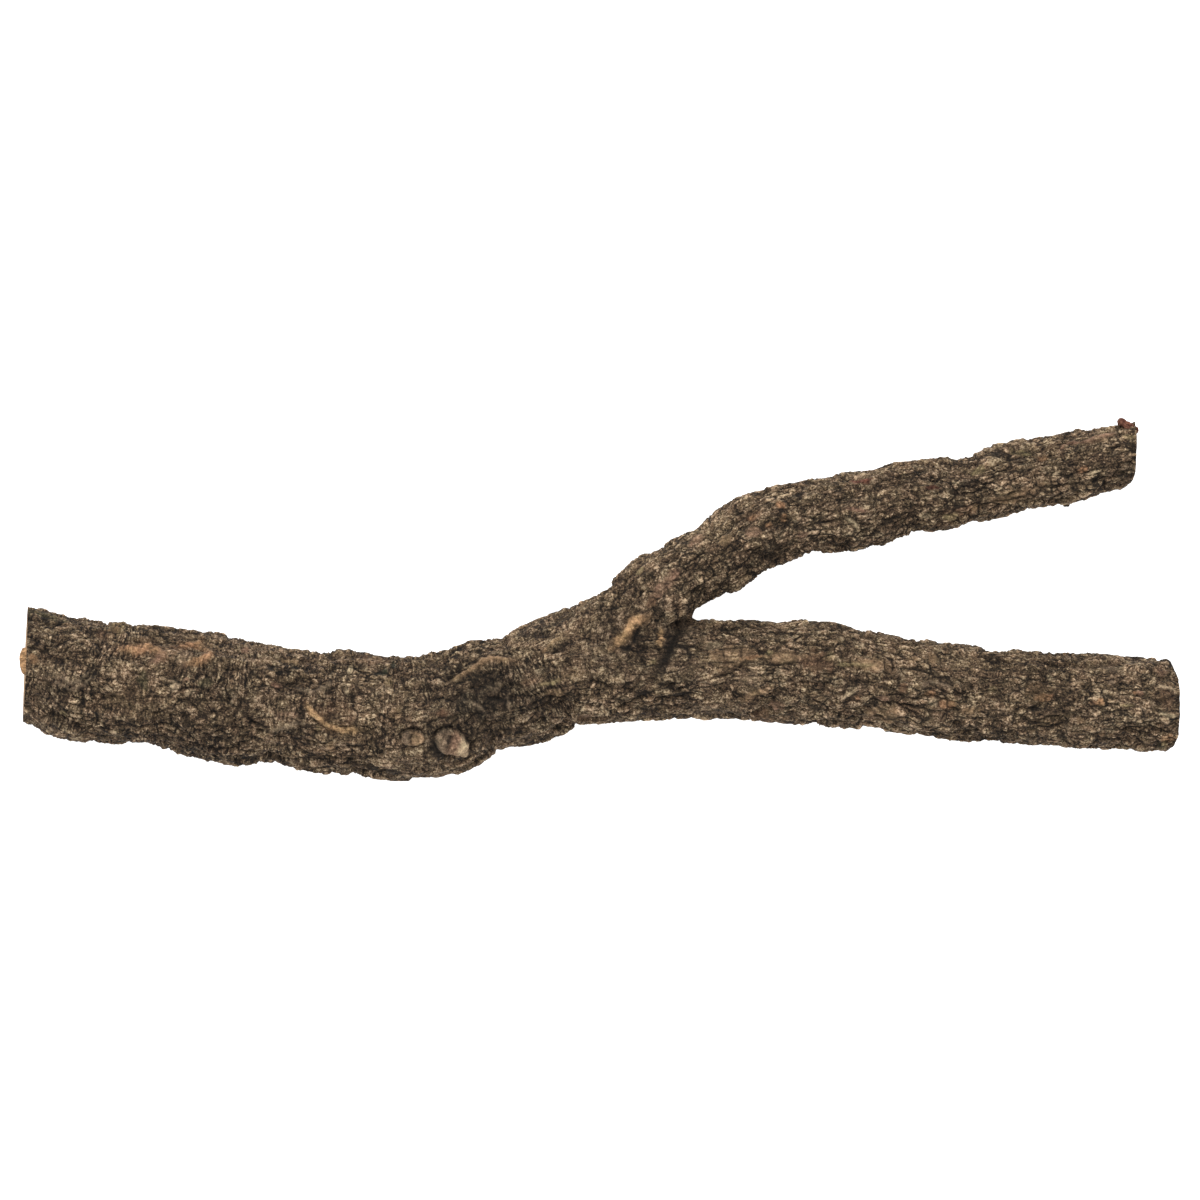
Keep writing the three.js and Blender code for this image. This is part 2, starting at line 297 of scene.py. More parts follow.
def ragged_noise(plan: Array, pitch: float, height: float, seed: int) -> Array:
    """Rough noise about 0 in plan.

    Args:
        plan: One row of x and y for each point.
        pitch: The noise's pitch, in millimetres.
        height: The height that the noise is taken at, in steps of its lattice.
        seed: Chooses one of many unlike noises.

    Returns:
        Values from -0.5 to 0.5.
    """
    return layered_noise(np.column_stack([plan / pitch, np.full(len(plan), height)]), seed, 2, 0.6) - 0.5


def wave_noise(places: Array) -> Array:
    """The smooth noise that gives the solids their relief: a lattice of sines' fractions, joined smoothly."""
    floor = np.floor(places)
    share = places - floor
    share = share * share * (3 - 2 * share)
    total = np.zeros(len(places))
    for corner in np.ndindex(2, 2, 2):
        lattice = floor + corner
        wave = np.sin(lattice @ np.array([12.9898, 78.233, 37.719])) * 43758.5453
        weight = np.prod(np.where(np.array(corner) == 1, share, 1 - share), axis=1)
        total += weight * (wave - np.floor(wave))
    return total


@dataclass
class StemPlaces:
    """Where a set of points lies on a stem: along it, round it, and off its surface."""

    along: Array
    angle: Array
    half: Array
    off: Array
    outward: Array

    def straightened(self) -> Array:
        """The points' places if the stem were straight: along it, across it and up, in millimetres."""
        return np.stack([self.along, self.half * np.cos(self.angle), self.half * np.sin(self.angle)], axis=1)

    def where(self, near: Array) -> "StemPlaces":
        """The places of some of the points alone."""
        values = (self.along, self.angle, self.half, self.off, self.outward)
        return StemPlaces(*(value[near] for value in values))


@dataclass(frozen=True)
class StemLine:
    """The smooth line of a stem through its stations, and its girth along it."""

    stations: tuple[Station, ...]
    swellings: tuple[Swelling, ...]
    samples: int = 560
    length_steps: int = 200

    def curve(self, share: Array) -> Array:
        """The Catmull-Rom curve through the stations.

        Args:
            share: Places from 0 to 1 along the curve, by station.

        Returns:
            One row of x, y, height and half width for each place.
        """
        values = np.array([(s.x, s.y, s.height, s.half) for s in self.stations], float)
        padded = np.vstack([2 * values[0] - values[1], values, 2 * values[-1] - values[-2]])
        last = len(values) - 1
        place = np.clip(share, 0.0, 1.0) * last
        index = np.minimum(place.astype(int), last - 1)
        t = (place - index)[:, None]
        p0, p1, p2, p3 = (padded[index + n] for n in range(4))
        cubic = (3 * p1 - p0 - 3 * p2 + p3) * t**3 + (2 * p0 - 5 * p1 + 4 * p2 - p3) * t**2
        return 0.5 * (cubic + (p2 - p0) * t + 2 * p1)

    @cached_property
    def table(self) -> dict[str, Array]:
        """The line in short steps: centres, directions, girths and the length up to each step."""
        share = np.linspace(0, 1, self.samples)
        rows = self.curve(share)
        nudge = 1e-4
        ahead, behind = (self.curve(share + nudge)[:, :3], self.curve(share - nudge)[:, :3])
        tangent = ahead - behind
        tangent /= np.linalg.norm(tangent, axis=1)[:, None]
        side = np.cross((0.0, 0.0, 1.0), tangent)
        side /= np.linalg.norm(side, axis=1)[:, None]
        steps = np.linspace(0, 1, self.length_steps + 1)
        spans = np.linalg.norm(np.diff(self.curve(steps)[:, :3], axis=0), axis=1)
        along = np.interp(share, steps, np.concatenate([[0.0], np.cumsum(spans)]))
        return {
            "centre": rows[:, :3],
            "half": rows[:, 3],
            "tangent": tangent,
            "side": side,
            "up": np.cross(tangent, side),
            "along": along,
        }

    def locate(self, points: Array) -> StemPlaces:
        """Finds where points lie on the stem.

        Args:
            points: One row of x, y and z for each point, in millimetres.

        Returns:
            The points' places on this stem.
        """
        table = self.table
        centres = table["centre"]
        nearest = np.empty(len(points), int)
        for start in range(0, len(points), 8000):
            chunk = points[start : start + 8000]
            gap = (centres**2).sum(axis=1)[None, :] - 2 * chunk @ centres.T
            nearest[start : start + 8000] = gap.argmin(axis=1)
        away = points - centres[nearest]
        tangent = table["tangent"][nearest]
        further = (away * tangent).sum(axis=1)
        radial = away - tangent * further[:, None]
        across = (radial * table["side"][nearest]).sum(axis=1)
        up = (radial * table["up"][nearest]).sum(axis=1) / DEPTH_SHARE
        angle = np.arctan2(up, across)
        half = table["half"][nearest]
        along = table["along"][nearest] + further
        off = np.hypot(across, up) - half
        off = off + 0.8 * np.maximum(-along, 0)  # a stem ends where its stations start
        outward = table["side"][nearest] * np.cos(angle)[:, None]
        outward = outward + table["up"][nearest] * (np.sin(angle) / DEPTH_SHARE)[:, None]
        outward /= np.linalg.norm(outward, axis=1)[:, None]
        return StemPlaces(along, angle, half, off, outward)

    def ring_matrix(self, along: float) -> Matrix:
        """The matrix that puts a unit circle round the stem, at a distance along it."""
        table = self.table
        row = int(np.abs(table["along"] - along).argmin())
        half = table["half"][row]
        side = Vector(table["side"][row]) * half
        up = Vector(table["up"][row]) * half * DEPTH_SHARE
        tangent = Vector(table["tangent"][row])
        centre = Vector(table["centre"][row])
        return Matrix((
            (side.x, up.x, tangent.x, centre.x),
            (side.y, up.y, tangent.y, centre.y),
            (side.z, up.z, tangent.z, centre.z),
            (0, 0, 0, 1),
        ))

    def add_tube(
        self, bm: bmesh.types.BMesh, start: float, end: float, step: float = 6.0, sides: int = 36
    ) -> None:
        """Adds the stem's smooth tube, from a circle extruded ring by ring along the line.

        Args:
            bm: The mesh that takes the tube.
            start: Where it starts, as a distance along the stem.
            end: Where it ends.
            step: From one ring to the next.
            sides: How many sides a ring has.
        """
        length = float(self.table["along"][-1])
        stops = np.arange(max(start, 0.0), min(end, length), step)
        placed = self.ring_matrix(stops[0])
        circle = bmesh.ops.create_circle(bm, cap_ends=True, radius=1.0, segments=sides, matrix=placed)
        edges = {edge for vert in circle["verts"] for edge in vert.link_edges}
        ring = [edge for edge in edges if len(edge.link_faces) == 1]
        for stop in stops[1:]:
            grown = bmesh.ops.extrude_edge_only(bm, edges=ring)["geom"]
            verts = [item for item in grown if isinstance(item, bmesh.types.BMVert)]
            ring = [item for item in grown if isinstance(item, bmesh.types.BMEdge)]
            ring = [edge for edge in ring if all(vert in verts for vert in edge.verts)]
            matrix = self.ring_matrix(stop)
            bmesh.ops.transform(bm, matrix=matrix @ placed.inverted(), verts=verts)
            placed = matrix
        bmesh.ops.contextual_create(bm, geom=ring)


STEM = StemLine(STEM_STATIONS, STEM_SWELLINGS)
LIMB = StemLine(LIMB_STATIONS, LIMB_SWELLINGS)


class Tint(Enum):
    """Colours that single places of the bark have over its own brown, in sRGB. The dark umber one is also
    laid as painted shade in hollows, round a knot, under a flake and down the fork's valley.
    """

    TAN = (154, 127, 97)
    ORANGE = (172, 132, 98)
    AMBER = (198, 160, 118)
    RUST = (118, 90, 69)
    RED = (112, 68, 55)
    PINK = (150, 118, 97)
    STRAW = (158, 140, 104)
    CREAM = (200, 178, 146)
    LICHEN = (86, 82, 58)
    MOSS = (46, 48, 35)
    ASH = (124, 107, 88)
    UMBER_AND_SHADE = (38, 31, 24)


def srgb(red: float, green: float, blue: float) -> tuple[float, float, float, float]:
    """Turns an sRGB colour of 0 to 255 into the renderer's linear one."""
    linear = []
    for channel in (red / 255, green / 255, blue / 255):
        linear.append(channel / 12.92 if channel <= 0.04045 else ((channel + 0.055) / 1.055) ** 2.4)
    return (linear[0], linear[1], linear[2], 1.0)


@dataclass
class Surface:
    """The bark's height over the smooth branch at each point, and what colours it."""

    high: Array
    low: Array
    # the next mask lightens the bark where it stands high, as wear and as painted highlight
    wear_and_highlight: Array
    # the next mask darkens the bark with painted shade in its fissures, its grooves and under its ledges
    crack_shade: Array
    tint: Array
    calm: Array
    wrinkled: Array

    def stain(self, near: Array, tint: Tint, share: Array) -> None:
        """Lays a colour over the colours that are there.

        Args:
            near: The numbers of the points that take it.
            tint: The colour.
            share: How much of it covers each of those points, from 0 to 1.
        """
        colour = np.array(srgb(*tint.value)[:3])
        under = self.tint[near, 3] * (1 - share)
        total = share + under
        safe = np.maximum(total, 1e-6)
        mixed = colour * share[:, None] + self.tint[near, :3] * under[:, None]
        self.tint[near, :3] = mixed / safe[:, None]
        self.tint[near, 3] = total

    def raise_to(self, name: str, near: Array, least: Array) -> None:
        """Brings one of the masks up to a least value at some of the points."""
        mask = getattr(self, name)
        mask[near] = np.maximum(mask[near], least)


@dataclass(frozen=True)
class Oval:
    """An oval in plan, as it is seen from above: its middle, its half sizes and its turn in degrees."""

    x: float
    y: float
    long: float
    wide: float
    turn: float

    def measure(self, plan: Array) -> tuple[Array, Array]:
        """How far points are from the middle along the oval and across it, as shares of its half sizes."""
        away = plan - (self.x, self.y)
        angle = math.radians(self.turn)
        along = (away[:, 0] * math.cos(angle) + away[:, 1] * math.sin(angle)) / self.long
        across = (away[:, 1] * math.cos(angle) - away[:, 0] * math.sin(angle)) / self.wide
        return along, across


@dataclass(frozen=True)
class Patch(Oval):
    """A ragged spot of another colour on the upper side, placed in plan as it is seen from above.

    It may be lifted over the bark round it, and have calmer relief. Dark umber patches also lay painted
    shade.
    """

    tint: Tint
    strength: float = 0.7
    lift: float = 0.0
    calm: float = 0.0

    def quiet(self) -> float:
        """How much the bark's own pattern fades on the patch. A dark stretch keeps all of it."""
        return self.calm if self.tint is Tint.UMBER_AND_SHADE else max(self.calm, 0.8 * self.strength)

    def share(self, plan: Array) -> Array:
        """How much of the patch is at each point, from 0 outside it to 1 in it."""
        reach = np.hypot(*self.measure(plan)) + 0.9 * ragged_noise(plan, 2.6, self.x, 71)
        return 1 - ramp(0.7, 1.15, reach)


class Line(Enum):
    """The cross-sections that a line in the bark may have."""

    RIDGE = "ridge"
    GROOVE = "groove"
    LEDGE = "ledge"


@dataclass(frozen=True)
class Stroke:
    """A ridge, a groove or a ledge that runs along a chain of places in plan, as seen from above.

    A ledge stands up on the left of its chain, and falls off sharply to the right.
    """

    kind: Line
    chain: tuple[tuple[float, float], ...]
    half_width: float
    height: float
    tint: Tint | None = None

    def measure(self, plan: Array) -> tuple[Array, Array]:
        """Measures from the stroke's chain.

        Args:
            plan: One row of x and y for each point.

        Returns:
            The distance to the left of the chain, less than zero on its right, and how far from the chain's
            two ends the nearest place on it is.
        """
        best = np.full(len(plan), 1e9)
        left = np.zeros(len(plan))
        from_end = np.zeros(len(plan))
        corners = np.array(self.chain, float)
        spans = np.diff(corners, axis=0)
        lengths = np.linalg.norm(spans, axis=1)
        starts = np.concatenate([[0.0], np.cumsum(lengths)])
        for corner, span, length, start in zip(corners, spans, lengths, starts):
            direction = span / length
            away = plan - corner
            along = np.clip(away @ direction, 0, length)
            offset = away - along[:, None] * direction
            distance = np.linalg.norm(offset, axis=1)
            closer = distance < best
            cross = direction[0] * away[:, 1] - direction[1] * away[:, 0]
            left = np.where(closer, np.sign(cross) * distance, left)
            place = start + along
            from_end = np.where(closer, np.minimum(place, starts[-1] - place), from_end)
            best = np.where(closer, distance, best)
        return left, from_end

    def carve(self, surface: Surface, near: Array, plan: Array, on_top: Array) -> None:
        """Puts the stroke on the bark.

        Args:
            surface: The bark, which takes it.
            near: The numbers of the points that are close to the stroke.
            plan: Those points' x and y as seen from above.
            on_top: 1 where such a point faces up.
        """
        left, from_end = self.measure(plan)
        left = left + 1.5 * self.half_width * ragged_noise(plan, 2.2, 5.0, 83)
        half_width = max(self.half_width, 0.8)
        body = bell(left, 0, half_width) * (0.35 + 0.65 * ramp(0, 3 * half_width, from_end))
        body = body * on_top
        if self.kind is Line.RIDGE:
            surface.high[near] += self.height * body
            surface.crack_shade[near] *= 1 - 0.6 * body
            # a ridge's feet are darkened with painted shade
            foot = bell(np.abs(left), 1.9 * self.half_width, 0.5 * self.half_width)
            surface.raise_to("crack_shade", near, 0.5 * foot * on_top * ramp(0, 2, from_end))
        elif self.kind is Line.GROOVE:
            surface.high[near] -= self.height * body
            # a groove is darkened with painted shade
            surface.raise_to("crack_shade", near, body)
        else:
            step = ramp(-0.5, 0.5, left) * np.exp(-np.maximum(left, 0) / self.half_width)
            step = step * ramp(0, 3, from_end) * on_top
            surface.high[near] += self.height * step
            # painted shade at the foot of the ledge
            shade = bell(left, -0.9, 0.8) * ramp(0, 3, from_end) * on_top
            surface.raise_to("crack_shade", near, 0.9 * shade)
        surface.low[near] *= 1 - 0.6 * body
        most = 0.7 if self.tint else 0.4
        surface.raise_to("calm", near, np.minimum(most, 1.3 * body))
        if self.tint:
            surface.stain(near, self.tint, np.minimum(1.0, 1.5 * body) * 0.85)


@dataclass(frozen=True)
class Knot(Oval):
    """A healed knot: a low dome with a rim and a slit in its face, and a groove round it, darkened with
    painted shade.
    """

    height: float
    face: Tint
    tint: Tint
    rim: Tint | None = None

    def swell(self, surface: Surface, near: Array, plan: Array, on_top: Array) -> None:
        """Puts the knot on the bark.

        Args:
            surface: The bark, which takes it.
            near: The numbers of the points that are close to the knot.
            plan: Those points' x and y as seen from above.
            on_top: 1 where such a point faces up.
        """
        along, across = self.measure(plan)
        reach = np.hypot(along, across) + 0.3 * ragged_noise(plan, 3.0, 9.0, 97)
        inside = (1 - ramp(0.85, 1.05, reach)) * on_top
        rim = bell(reach, 0.75, 0.22) * on_top
        groove = bell(reach, 1.14, 0.12) * on_top
        upper = ramp(-0.5, 0.4, across)
        slit = bell(along + 0.22 - 0.5 * across**2, 0, 0.1) * (1 - ramp(0.45, 0.75, reach)) * on_top
        surface.low[near] *= 1 - 0.7 * inside
        surface.crack_shade[near] *= 1 - 0.8 * inside
        surface.raise_to("calm", near, 0.9 * np.maximum(inside, groove))
        surface.high[near] += self.height * (0.75 * inside * (1 - 0.5 * reach**2) + 0.3 * rim)
        surface.high[near] -= 1.6 * groove * (0.35 + 0.65 * upper) + 0.9 * slit
        # the groove and the slit are darkened with painted shade, more on one side
        surface.raise_to("crack_shade", near, np.maximum(groove * (0.7 + 0.3 * upper), 0.9 * slit))
        surface.stain(near, self.face, 0.6 * inside * (1 - ramp(-0.4, 0.0, along)))
        surface.stain(near, self.tint, 0.7 * inside * ramp(-0.35, 0.1, along))
        if self.rim:
            light = inside * ramp(0.2, 0.6, along) * ramp(-0.9, -0.2, across)
            surface.stain(near, self.rim, 0.85 * light)


@dataclass(frozen=True)
class BarkPattern:
    """The bark's relief, from its broad ridges down to its grit.

    Sizes are in millimetres: heights, and pitches along the straightened stem, across it and up.
    """

    ridge_height: float = 1.4
    ridge: Steps = (46.0, 11.0, 11.0)
    lump_height: float = 1.0
    lump: Steps = (17.0, 13.0, 13.0)
    plate_height: float = 1.8
    plate: Steps = (15.0, 9.5, 9.5)
    plate_edge: Steps = (7.0, 3.6, 3.6)
    scale: Steps = (10.0, 4.4, 4.4)
    block: Steps = (3.8, 3.2, 3.2)
    wrinkle: Steps = (2.3, 7.5, 7.5)
    grit: float = 1.9
    broad_settle: float = 1.4
    fine_settle: float = 0.3

    def broad(self, places: StemPlaces, swellings: tuple[Swelling, ...]) -> tuple[Array, Array]:
        """The relief that the solids have too.

        Args:
            places: Where the points lie on the stem.
            swellings: The stem's own lumps and hollows.

        Returns:
            The height over the smooth stem without its plates, and the noise whose high parts are the plates.
        """
        straight = places.straightened()
        ridge = wave_noise(straight / self.ridge + (7, 31, 17))
        lump = wave_noise(straight / self.lump + (3, 53, 11))
        plates = wave_noise(straight / self.plate + (13, 41, 23))
        height = self.ridge_height * (1 - np.abs(4 * ridge - 2)) + self.lump_height * (2 * lump - 1)
        height -= self.broad_settle
        for swelling in swellings:
            turn = places.angle - math.radians(swelling.round)
            away = places.half * np.arctan2(np.sin(turn), np.cos(turn))
            distance = ((places.along - swelling.along) / swelling.length) ** 2 + (away / swelling.width) ** 2
            height += swelling.height * np.exp(-distance)
        return height, plates

    def fine(self, places: StemPlaces, plates: Array, seed: int) -> tuple[Array, Array, Array, Array]:
        """Plates, cracks and grit.

        Args:
            places: Where the points lie on the stem.
            plates: The noise whose high parts are the plates.
            seed: Makes one stem's bark unlike another's.

        Returns:
            The plates' height, the height of the small relief on them, how high a place stands, which
            lightens it as wear and as painted highlight, and how deep in a fissure it is, which darkens it
            with painted shade.
        """
        straight = places.straightened()
        drift = np.stack([
            12.0 * (layered_noise(straight / (30, 16, 16), seed + 1, 3) - 0.5),
            7.0 * (layered_noise(straight / (27, 15, 15), seed + 2, 3) - 0.5),
            7.0 * (layered_noise(straight / (27, 15, 15), seed + 3, 3) - 0.5),
        ], axis=1)
        drifted = straight + drift
        plates = plates + 0.3 * (layered_noise(drifted / self.plate_edge, seed + 4, 3, 0.5) - 0.5)
        on_plate = ramp(0.44, 0.54, plates)
        plate_foot = bell(plates, 0.432, 0.02)
        edge, level = cell_pattern(drifted / self.scale, seed + 6)
        parted = ramp(0.3, 0.6, smooth_noise(straight / (24, 13, 13), seed + 12))
        scale_top = ramp(0.0, 0.4, edge)
        gap = (1 - ramp(0.03, 0.15, edge)) * (0.35 + 0.65 * parted)
        small_edge, small_level = cell_pattern(drifted / self.block, seed + 21)
        crazed = ramp(0.4, 0.6, smooth_noise(straight / (20, 12, 12), seed + 14))
        split = (1 - ramp(0.03, 0.14, small_edge)) * crazed
        across = layered_noise(drifted / self.wrinkle, seed + 7, 2, 0.5)
        notch = ramp(0.86, 0.97, 1 - np.abs(2 * across - 1))
        notched = ramp(0.36, 0.5, smooth_noise(straight / (26, 13, 13), seed + 8))
        grit = layered_noise(straight / self.grit, seed + 9, 2, 0.6) - 0.5
        high = self.plate_height * (on_plate - 0.5) - 0.4 * plate_foot
        low = 0.5 * (scale_top - 0.7) + 0.45 * (level - 0.5) - 0.5 * gap
        low += crazed * (0.4 * (small_level - 0.5) - 0.35 * split)
        low += 1.5 * notched * (across - 0.5) - 0.5 * notch * notched
        low += 0.8 * grit
        # a high place is lightened, for worn plates and as painted highlight
        wear_and_highlight = np.clip(0.35 + 0.2 * (on_plate - 0.5) + 0.5 * (low + 0.2), 0, 1)
        # fissures, a plate's foot and notches are darkened with painted shade
        crack_shade = np.maximum.reduce([0.8 * plate_foot, gap, 0.7 * split, 0.7 * notch * notched])
        return high - self.fine_settle, low, wear_and_highlight, crack_shade


ridge = partial(Stroke, Line.RIDGE)
groove = partial(Stroke, Line.GROOVE)
ledge = partial(Stroke, Line.LEDGE)

STROKES: tuple[Stroke, ...] = (
    # the trunk's left end, up to its bare ridge
    ledge(((-249, -17), (-251, -7)), 8.0, 1.2),
    ridge(((-281, -39), (-276, -43.5), (-270, -42), (-266, -37)), 0.8, 0.8, Tint.ASH),
    ridge(((-283, -42), (-276, -46.5), (-269, -45), (-263, -39)), 0.8, 0.7, Tint.ASH),
    ridge(((-250, -24), (-240, -25.5), (-235, -24), (-231, -26), (-227, -28.5)), 2.4, 1.3, Tint.ORANGE),
    ridge(((-227, -28.5), (-231, -31), (-234, -32)), 1.4, 0.9, Tint.PINK),
    ridge(((-220, -24), (-215, -22.7), (-209, -21.3), (-206, -23)), 2.2, 1.5, Tint.ORANGE),
    ridge(((-204, -26), (-203, -29.5), (-208, -32), (-215, -33)), 1.7, 1.1, Tint.ORANGE),
    groove(((-210, -24.6), (-206, -25.6)), 1.4, 1.6),
    groove(((-232, -21.8), (-228, -22.6)), 1.0, 1.0),
    groove(((-197, -35.4), (-188, -35.6), (-179, -35), (-172, -32)), 0.9, 1.7),
    ridge(((-196, -33), (-186, -33.2), (-177, -32), (-170, -29)), 1.3, 1.1),
    groove(((-201, -48), (-190, -55), (-180, -64), (-172, -68)), 1.0, 1.2),
    groove(((-251, -63.4), (-239, -66), (-226, -65.5), (-218, -70)), 0.9, 1.2),
    # the scar in the middle of the trunk
    ridge(((-152.7, -54.6), (-148.7, -59.3), (-144, -64), (-139.4, -66.8)), 1.5, 1.6, Tint.AMBER),
    ridge(((-143, -64.6), (-139.4, -66.6), (-134, -68.2), (-129, -67.8), (-125, -69)), 1.8, 1.4, Tint.AMBER),
    groove(((-151.6, -59.6), (-148.2, -63.4), (-144.8, -65.6)), 0.7, 1.8),
    ridge(((-144.7, -68), (-137.5, -72), (-130, -74), (-123.5, -74), (-117, -72.5)), 1.3, 0.9),
    ridge(((-171, -68), (-165, -66), (-159, -64), (-152.7, -65)), 1.1, 1.0, Tint.ASH),
    ridge(((-159, -44), (-155.4, -46.7), (-150, -48), (-144.7, -46.7), (-139.4, -43.4)), 1.3, 1.2, Tint.ASH),
    groove(((-145, -49.6), (-139, -47.4), (-136, -44)), 0.6, 1.0),
    groove(((-185, -52.6), (-183, -60.6), (-179, -66.6)), 0.9, 1.2),
    groove(((-112.2, -77.5), (-105.6, -77.8)), 0.6, 1.1),
    groove(((-147.4, -84.8), (-144, -83.8)), 0.8, 1.2),
    groove(((-176.6, -80.8), (-171.3, -80.5)), 0.6, 1.0),
    # round the knots
    ridge(((-90.7, -72), (-87.4, -68), (-84.8, -65), (-80.8, -63), (-75, -63.6)), 1.5, 1.5),
    groove(((-92, -66), (-87, -63.4), (-82, -61.2), (-77, -60.8)), 0.6, 1.1),
    groove(((-101.6, -67.4), (-95, -66.6), (-92, -67.8)), 0.7, 1.2),
    groove(((-91.5, -77), (-91.2, -81)), 0.7, 1.5),
    # the crest that crosses the crook, and the hollow beyond it, darkened with painted shade
    ridge(((-77.5, -41.5), (-72, -37.5), (-64, -33.5), (-58, -30.4), (-46, -31.2)), 1.3, 1.5, Tint.TAN),
    ledge(((-62, -38.4), (-68.2, -39.2), (-72.8, -42.5), (-78, -45.2)), 4.0, 1.3),
    ridge(((-48, -48), (-47.6, -57)), 0.8, 0.9, Tint.ASH),
    ridge(((-68.2, -52.7), (-63, -55.4), (-60, -58.7)), 1.0, 0.9, Tint.ASH),
    ridge(((-31, -44.1), (-25.7, -43.5), (-20.4, -41.5)), 1.0, 0.8, Tint.STRAW),
    groove(((-29, -46.4), (-22, -46.2), (-15, -44)), 0.6, 1.0),
    groove(((-28, -51.6), (-18, -51.4), (-8, -50)), 0.6, 1.0),
    ridge(((-30.4, -26.9), (-25.7, -21.6), (-20.4, -18.3)), 0.9, 1.0, Tint.TAN),
    groove(((-27, -28), (-21, -24.2), (-15, -20)), 1.0, 1.3),
    # the fork: a flake with a painted shadow under it, and the valley that runs down from the crotch,
    # darkened with painted shade
    ledge(((24.6, -11.8), (20, -12.6), (16.4, -18), (14.6, -21.8), (6.2, -26.8)), 4.0, 2.0),
    ridge(((6.8, -24.3), (11.5, -19.6), (15, -15.4), (17.6, -11), (24.4, -9.4)), 2.2, 0.9, Tint.AMBER),
    groove(((21.6, -14.4), (18.6, -18), (16.8, -22), (11, -26.4)), 1.2, 1.6),
    groove(((22.9, -18.3), (23.1, -27.6)), 0.7, 1.5),
    groove(((50, -8), (44, -13), (38, -20), (34, -30), (29, -38)), 3.0, 3.0),
    groove(((46.4, 16.8), (47, 9.5)), 0.6, 1.1),
    # the lower limb's blocky plates, and the cracks between them
    groove(((58.6, -40.9), (66.5, -38.9), (71.2, -35.6), (74.5, -33), (82.5, -31.8)), 0.8, 1.6),
    groove(((54, -32.4), (62, -32.6), (72, -32)), 0.5, 1.0),
    groove(((61, -25.6), (70, -25.4), (76, -24.4)), 0.5, 0.9),
    groove(((56, -24.6), (56.4, -32)), 0.5, 1.0),
    groove(((64.4, -26), (64.6, -32)), 0.5, 0.8),
    groove(((73.6, -24.8), (73.4, -31.6)), 0.5, 0.8),
    groove(((82.8, -22.6), (82.8, -30.2)), 0.7, 1.4),
    groove(((85.2, -33.7), (91.8, -34.1), (99.8, -32.6)), 0.7, 1.5),
    groove(((113.7, -37.9), (123.6, -38.4)), 0.8, 1.4),
    groove(((130.5, -28.6), (130.5, -35)), 0.6, 1.3),
    groove(((148, -29.6), (148.2, -37)), 0.5, 0.9),
    groove(((152.4, -30), (152.4, -38)), 0.6, 1.2),
    ridge(((124.8, -33.2), (133, -33.4), (143, -33.8)), 0.8, 0.6, Tint.STRAW),
    ridge(((74.6, -53), (81.8, -49), (89, -45)), 1.3, 1.0, Tint.TAN),
    ridge(((126.3, -51.6), (132.3, -47.3)), 1.1, 1.2, Tint.CREAM),
    groove(((125, -53.4), (128, -52.4), (133.6, -48.4)), 0.5, 1.0),
    groove(((140.9, -51.6), (149.9, -54), (157, -55.2), (163, -56.2), (170, -56.8)), 0.8, 1.6),
    groove(((141.5, -61.1), (150.5, -62.7), (158.2, -61.3)), 0.6, 1.2),
    groove(((140, -52), (140.2, -60)), 0.6, 1.1),
    ridge(((166.6, -46.2), (171.4, -42.2), (178.5, -43.6), (183.3, -45.6)), 1.1, 1.0, Tint.ASH),
    groove(((176, -56), (176.2, -51)), 0.5, 1.0),
    groove(((174, -58.2), (182, -58.6), (187, -57)), 0.6, 1.2),
    groove(((183.9, -67.7), (184, -64.9), (187.4, -63.6)), 0.8, 1.5),
    groove(((194, -64), (198, -65), (197.6, -68.3)), 0.8, 1.5),
    groove(((226.3, -65), (233.2, -62.5), (240.8, -62.1)), 0.7, 1.6),
    groove(((226.3, -67.2), (233.2, -67.8), (240.8, -65.9)), 0.6, 1.3),
    groove(((243, -56.6), (243.6, -58.9), (247, -59.3), (252.5, -58)), 0.7, 1.5),
    groove(((263.8, -69.6), (263.8, -74.4)), 0.6, 1.3),
    ridge(((290.5, -44.4), (296, -45.2), (299.4, -46.6)), 0.5, 0.5, Tint.CREAM),
    ridge(((291.2, -58.9), (296, -60.3), (299.4, -60.7)), 0.5, 0.5, Tint.CREAM),
    groove(((286.8, -32.8), (286.8, -38.6), (292, -39.4), (297.6, -39)), 0.7, 1.5),
    ridge(((262, -35), (271, -35.8)), 0.9, 0.8, Tint.ASH),
    # the upper limb's cracks and fibres
    groove(((67.9, 36.3), (70.9, 32.4)), 0.6, 1.3),
    groove(((70.4, 46.6), (75, 45.6)), 1.0, 1.5),
    groove(((109, 38.5), (116.2, 40.3), (125.2, 41.6)), 0.8, 1.3),
    ridge(((128.2, 42.7), (132.3, 39.7), (134.1, 36.7)), 0.8, 0.9, Tint.CREAM),
    ridge(((127.6, 47.8), (133.3, 47), (139.4, 45.4)), 0.8, 0.9, Tint.PINK),
    groove(((162, 61.2), (162.6, 55.2), (167.6, 53.8), (172.8, 54.6)), 0.7, 1.4),
    groove(((202, 63.5), (206.6, 65.7), (211.8, 65.2)), 0.8, 1.5),
    groove(((155, 46.6), (162, 47.6), (167, 49.6)), 0.7, 1.2),
    ridge(((238, 80), (241.4, 82.9), (245.2, 84.2), (253.4, 83.8), (258.3, 85.8)), 0.8, 1.0, Tint.PINK),
    ridge(((258.3, 85.8), (263.3, 86.6), (268.5, 86.9)), 0.8, 0.9, Tint.PINK),
    groove(((204.6, 53.8), (212, 54.2), (222, 56.6)), 0.5, 1.0),
    groove(((205, 49.8), (214, 51), (224, 53.4)), 0.5, 1.1),
    groove(((223.4, 52.4), (224.2, 57.4)), 0.6, 1.0),
    groove(((236, 70.6), (243, 70.2), (249, 71)), 0.7, 1.3),
    groove(((265, 77.6), (266.4, 74.2), (270, 76.6)), 0.5, 1.0),
)
